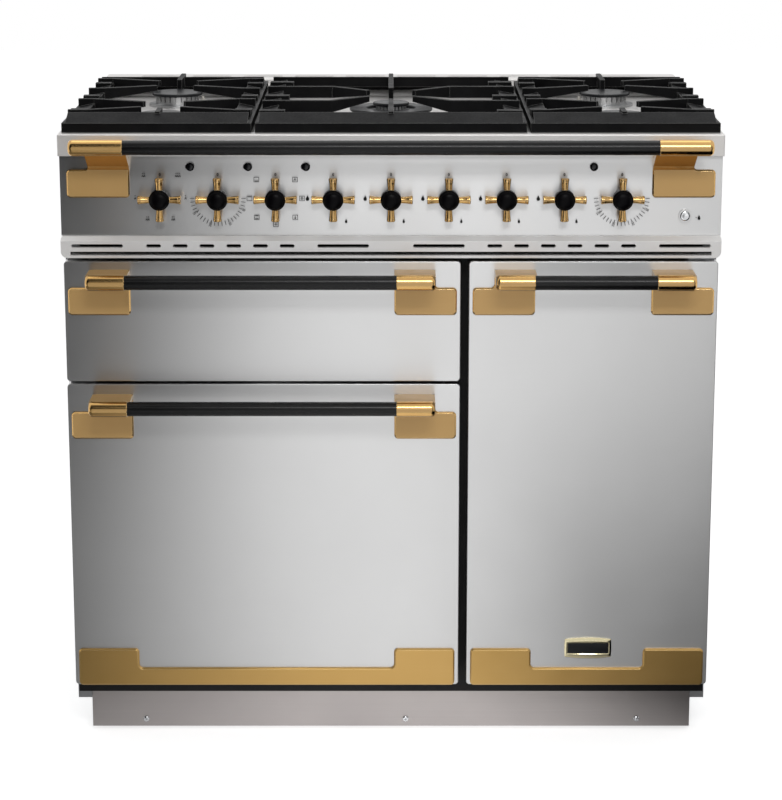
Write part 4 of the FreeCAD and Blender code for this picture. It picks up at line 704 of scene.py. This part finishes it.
FLOOR_HALF = 9.0
FLOOR_GLOW = 0.64
WORLD_TONE = 0.4
bm = bmesh.new()
bmesh.ops.create_grid(bm, x_segments=12, y_segments=12, size=FLOOR_HALF)
mesh = bpy.data.meshes.new("studio_floor")
bm.to_mesh(mesh)
bm.free()
floor = bpy.data.objects.new("studio_floor", mesh)
scene.collection.objects.link(floor)
material = bpy.data.materials.new("studio_floor")
material.use_nodes = True
tree = material.node_tree
surface = tree.nodes["Principled BSDF"]
where = add(tree, "ShaderNodeTexCoord").outputs["Object"]
pale = blended(tree, noise(tree, where, (3.0, 3.0, 3.0)), colour(238, 238, 238), colour(244, 244, 244))
tree.links.new(pale, surface.inputs["Base Color"])
surface.inputs["Roughness"].default_value = 0.9
surface.inputs["Emission Color"].default_value = (1.0, 1.0, 1.0, 1.0)
glow = add(tree, "ShaderNodeMath", {0: seen_rays(tree), 1: FLOOR_GLOW}, operation="MULTIPLY").outputs[0]
tree.links.new(glow, surface.inputs["Emission Strength"])
mesh.materials.append(material)

world = bpy.data.worlds.new("studio")
scene.world = world
world.use_nodes = True
tree = world.node_tree
backdrop = tree.nodes["Background"]
shown = blended(tree, seen_rays(tree), (WORLD_TONE,) * 3 + (1.0,), (1.0, 1.0, 1.0, 1.0))
tree.links.new(shown, backdrop.inputs["Color"])


def aimed(item, place, target):
    """Stands an item at a place with its -Z towards a target."""
    item.location = place
    item.rotation_euler = (Vector(target) - Vector(place)).to_track_quat("-Z", "Y").to_euler()


def lamp(name, place, target, size, height, power):
    """Soft rectangular lamp, with its power in watts."""
    data = bpy.data.lights.new(name, "AREA")
    data.shape = "RECTANGLE"
    data.size = size
    data.size_y = height
    data.energy = power
    holder = bpy.data.objects.new(name, data)
    scene.collection.objects.link(holder)
    aimed(holder, place, target)
    return holder


lamp("key", (0.3, -3.0, 2.6), (0.3, 0.0, 0.5), 1.4, 0.5, 26.0)
fill = lamp("fill", (-2.6, -2.2, 1.5), (0.0, 0.0, 0.5), 1.4, 1.4, 8.0)
fill.visible_glossy = False
lamp("top", (0.0, 0.4, 2.7), (0.0, 0.0, 0.8), 2.0, 1.2, 8.0)


def flag(name, place, target, size, height, tone, soft=0.45):
    """Dark studio card that only reflections see, for the gradient on the metal.

    tone is its brightness and soft the share of its radius over which the edge fades.
    """
    bm = bmesh.new()
    bmesh.ops.create_grid(bm, x_segments=2, y_segments=2, size=1.0)
    mesh = bpy.data.meshes.new(name)
    bm.to_mesh(mesh)
    bm.free()
    card = bpy.data.objects.new(name, mesh)
    scene.collection.objects.link(card)
    aimed(card, place, target)
    card.scale = (size / 2, height / 2, 1.0)
    material = bpy.data.materials.new(name)
    material.use_nodes = True
    tree = material.node_tree
    tree.nodes.remove(tree.nodes["Principled BSDF"])
    where = add(tree, "ShaderNodeTexCoord").outputs["Object"]
    fade = add(tree, "ShaderNodeTexGradient", {"Vector": where}, gradient_type="SPHERICAL").outputs["Fac"]
    fade = spread(tree, fade, 0.0, 1.0, 0.0, soft)
    glow = add(tree, "ShaderNodeEmission", {"Color": (tone, tone, tone, 1.0), "Strength": 1.0})
    clear = add(tree, "ShaderNodeBsdfTransparent")
    mixed = add(tree, "ShaderNodeMixShader", {0: fade, 1: clear.outputs[0], 2: glow.outputs[0]})
    tree.links.new(mixed.outputs[0], tree.nodes["Material Output"].inputs["Surface"])
    mesh.materials.append(material)
    card.visible_camera = False
    card.visible_diffuse = False
    card.visible_shadow = False
    card.visible_transmission = False
    card.visible_volume_scatter = False


flag("flag_left", (-1.38, -1.28, 1.35), (-1.38, 0.0, 1.35), 2.6, 5.0, 0.0, 0.25)
flag("flag_right", (1.5, -1.28, 0.4), (1.5, 0.0, 0.4), 1.9, 3.0, 0.15)
flag("flag_far_left", (-3.0, -3.5, 0.8), (-3.0, 0.0, 0.8), 4.6, 4.0, 0.1)
flag("flag_low_right", (1.5, -1.24, -0.1), (1.5, 0.0, -0.1), 2.3, 1.4, 0.05, 0.3)
flag("flag_floor_left", (-0.98, -0.6, 0.004), (-0.98, -0.6, 1.0), 1.8, 1.9, 0.2)
flag("flag_floor_right", (0.98, -0.75, 0.006), (0.98, -0.75, 1.0), 1.9, 2.0, 0.0, 0.3)

camera_data = bpy.data.cameras.new("camera")
camera_data.lens = LENS
camera_data.sensor_width = SENSOR
camera_data.sensor_fit = "AUTO"
camera_data.shift_y = SHIFT
camera_data.clip_start = 0.05
camera_data.clip_end = 60.0
camera = bpy.data.objects.new("camera", camera_data)
scene.collection.objects.link(camera)
camera.location = (0.0, door_face - EYE_DISTANCE, EYE_LEVEL)
camera.rotation_euler = (math.radians(90 - EYE_TILT), 0.0, 0.0)
scene.camera = camera

scene.view_settings.view_transform = "Standard"
bpy.context.view_layer.update()
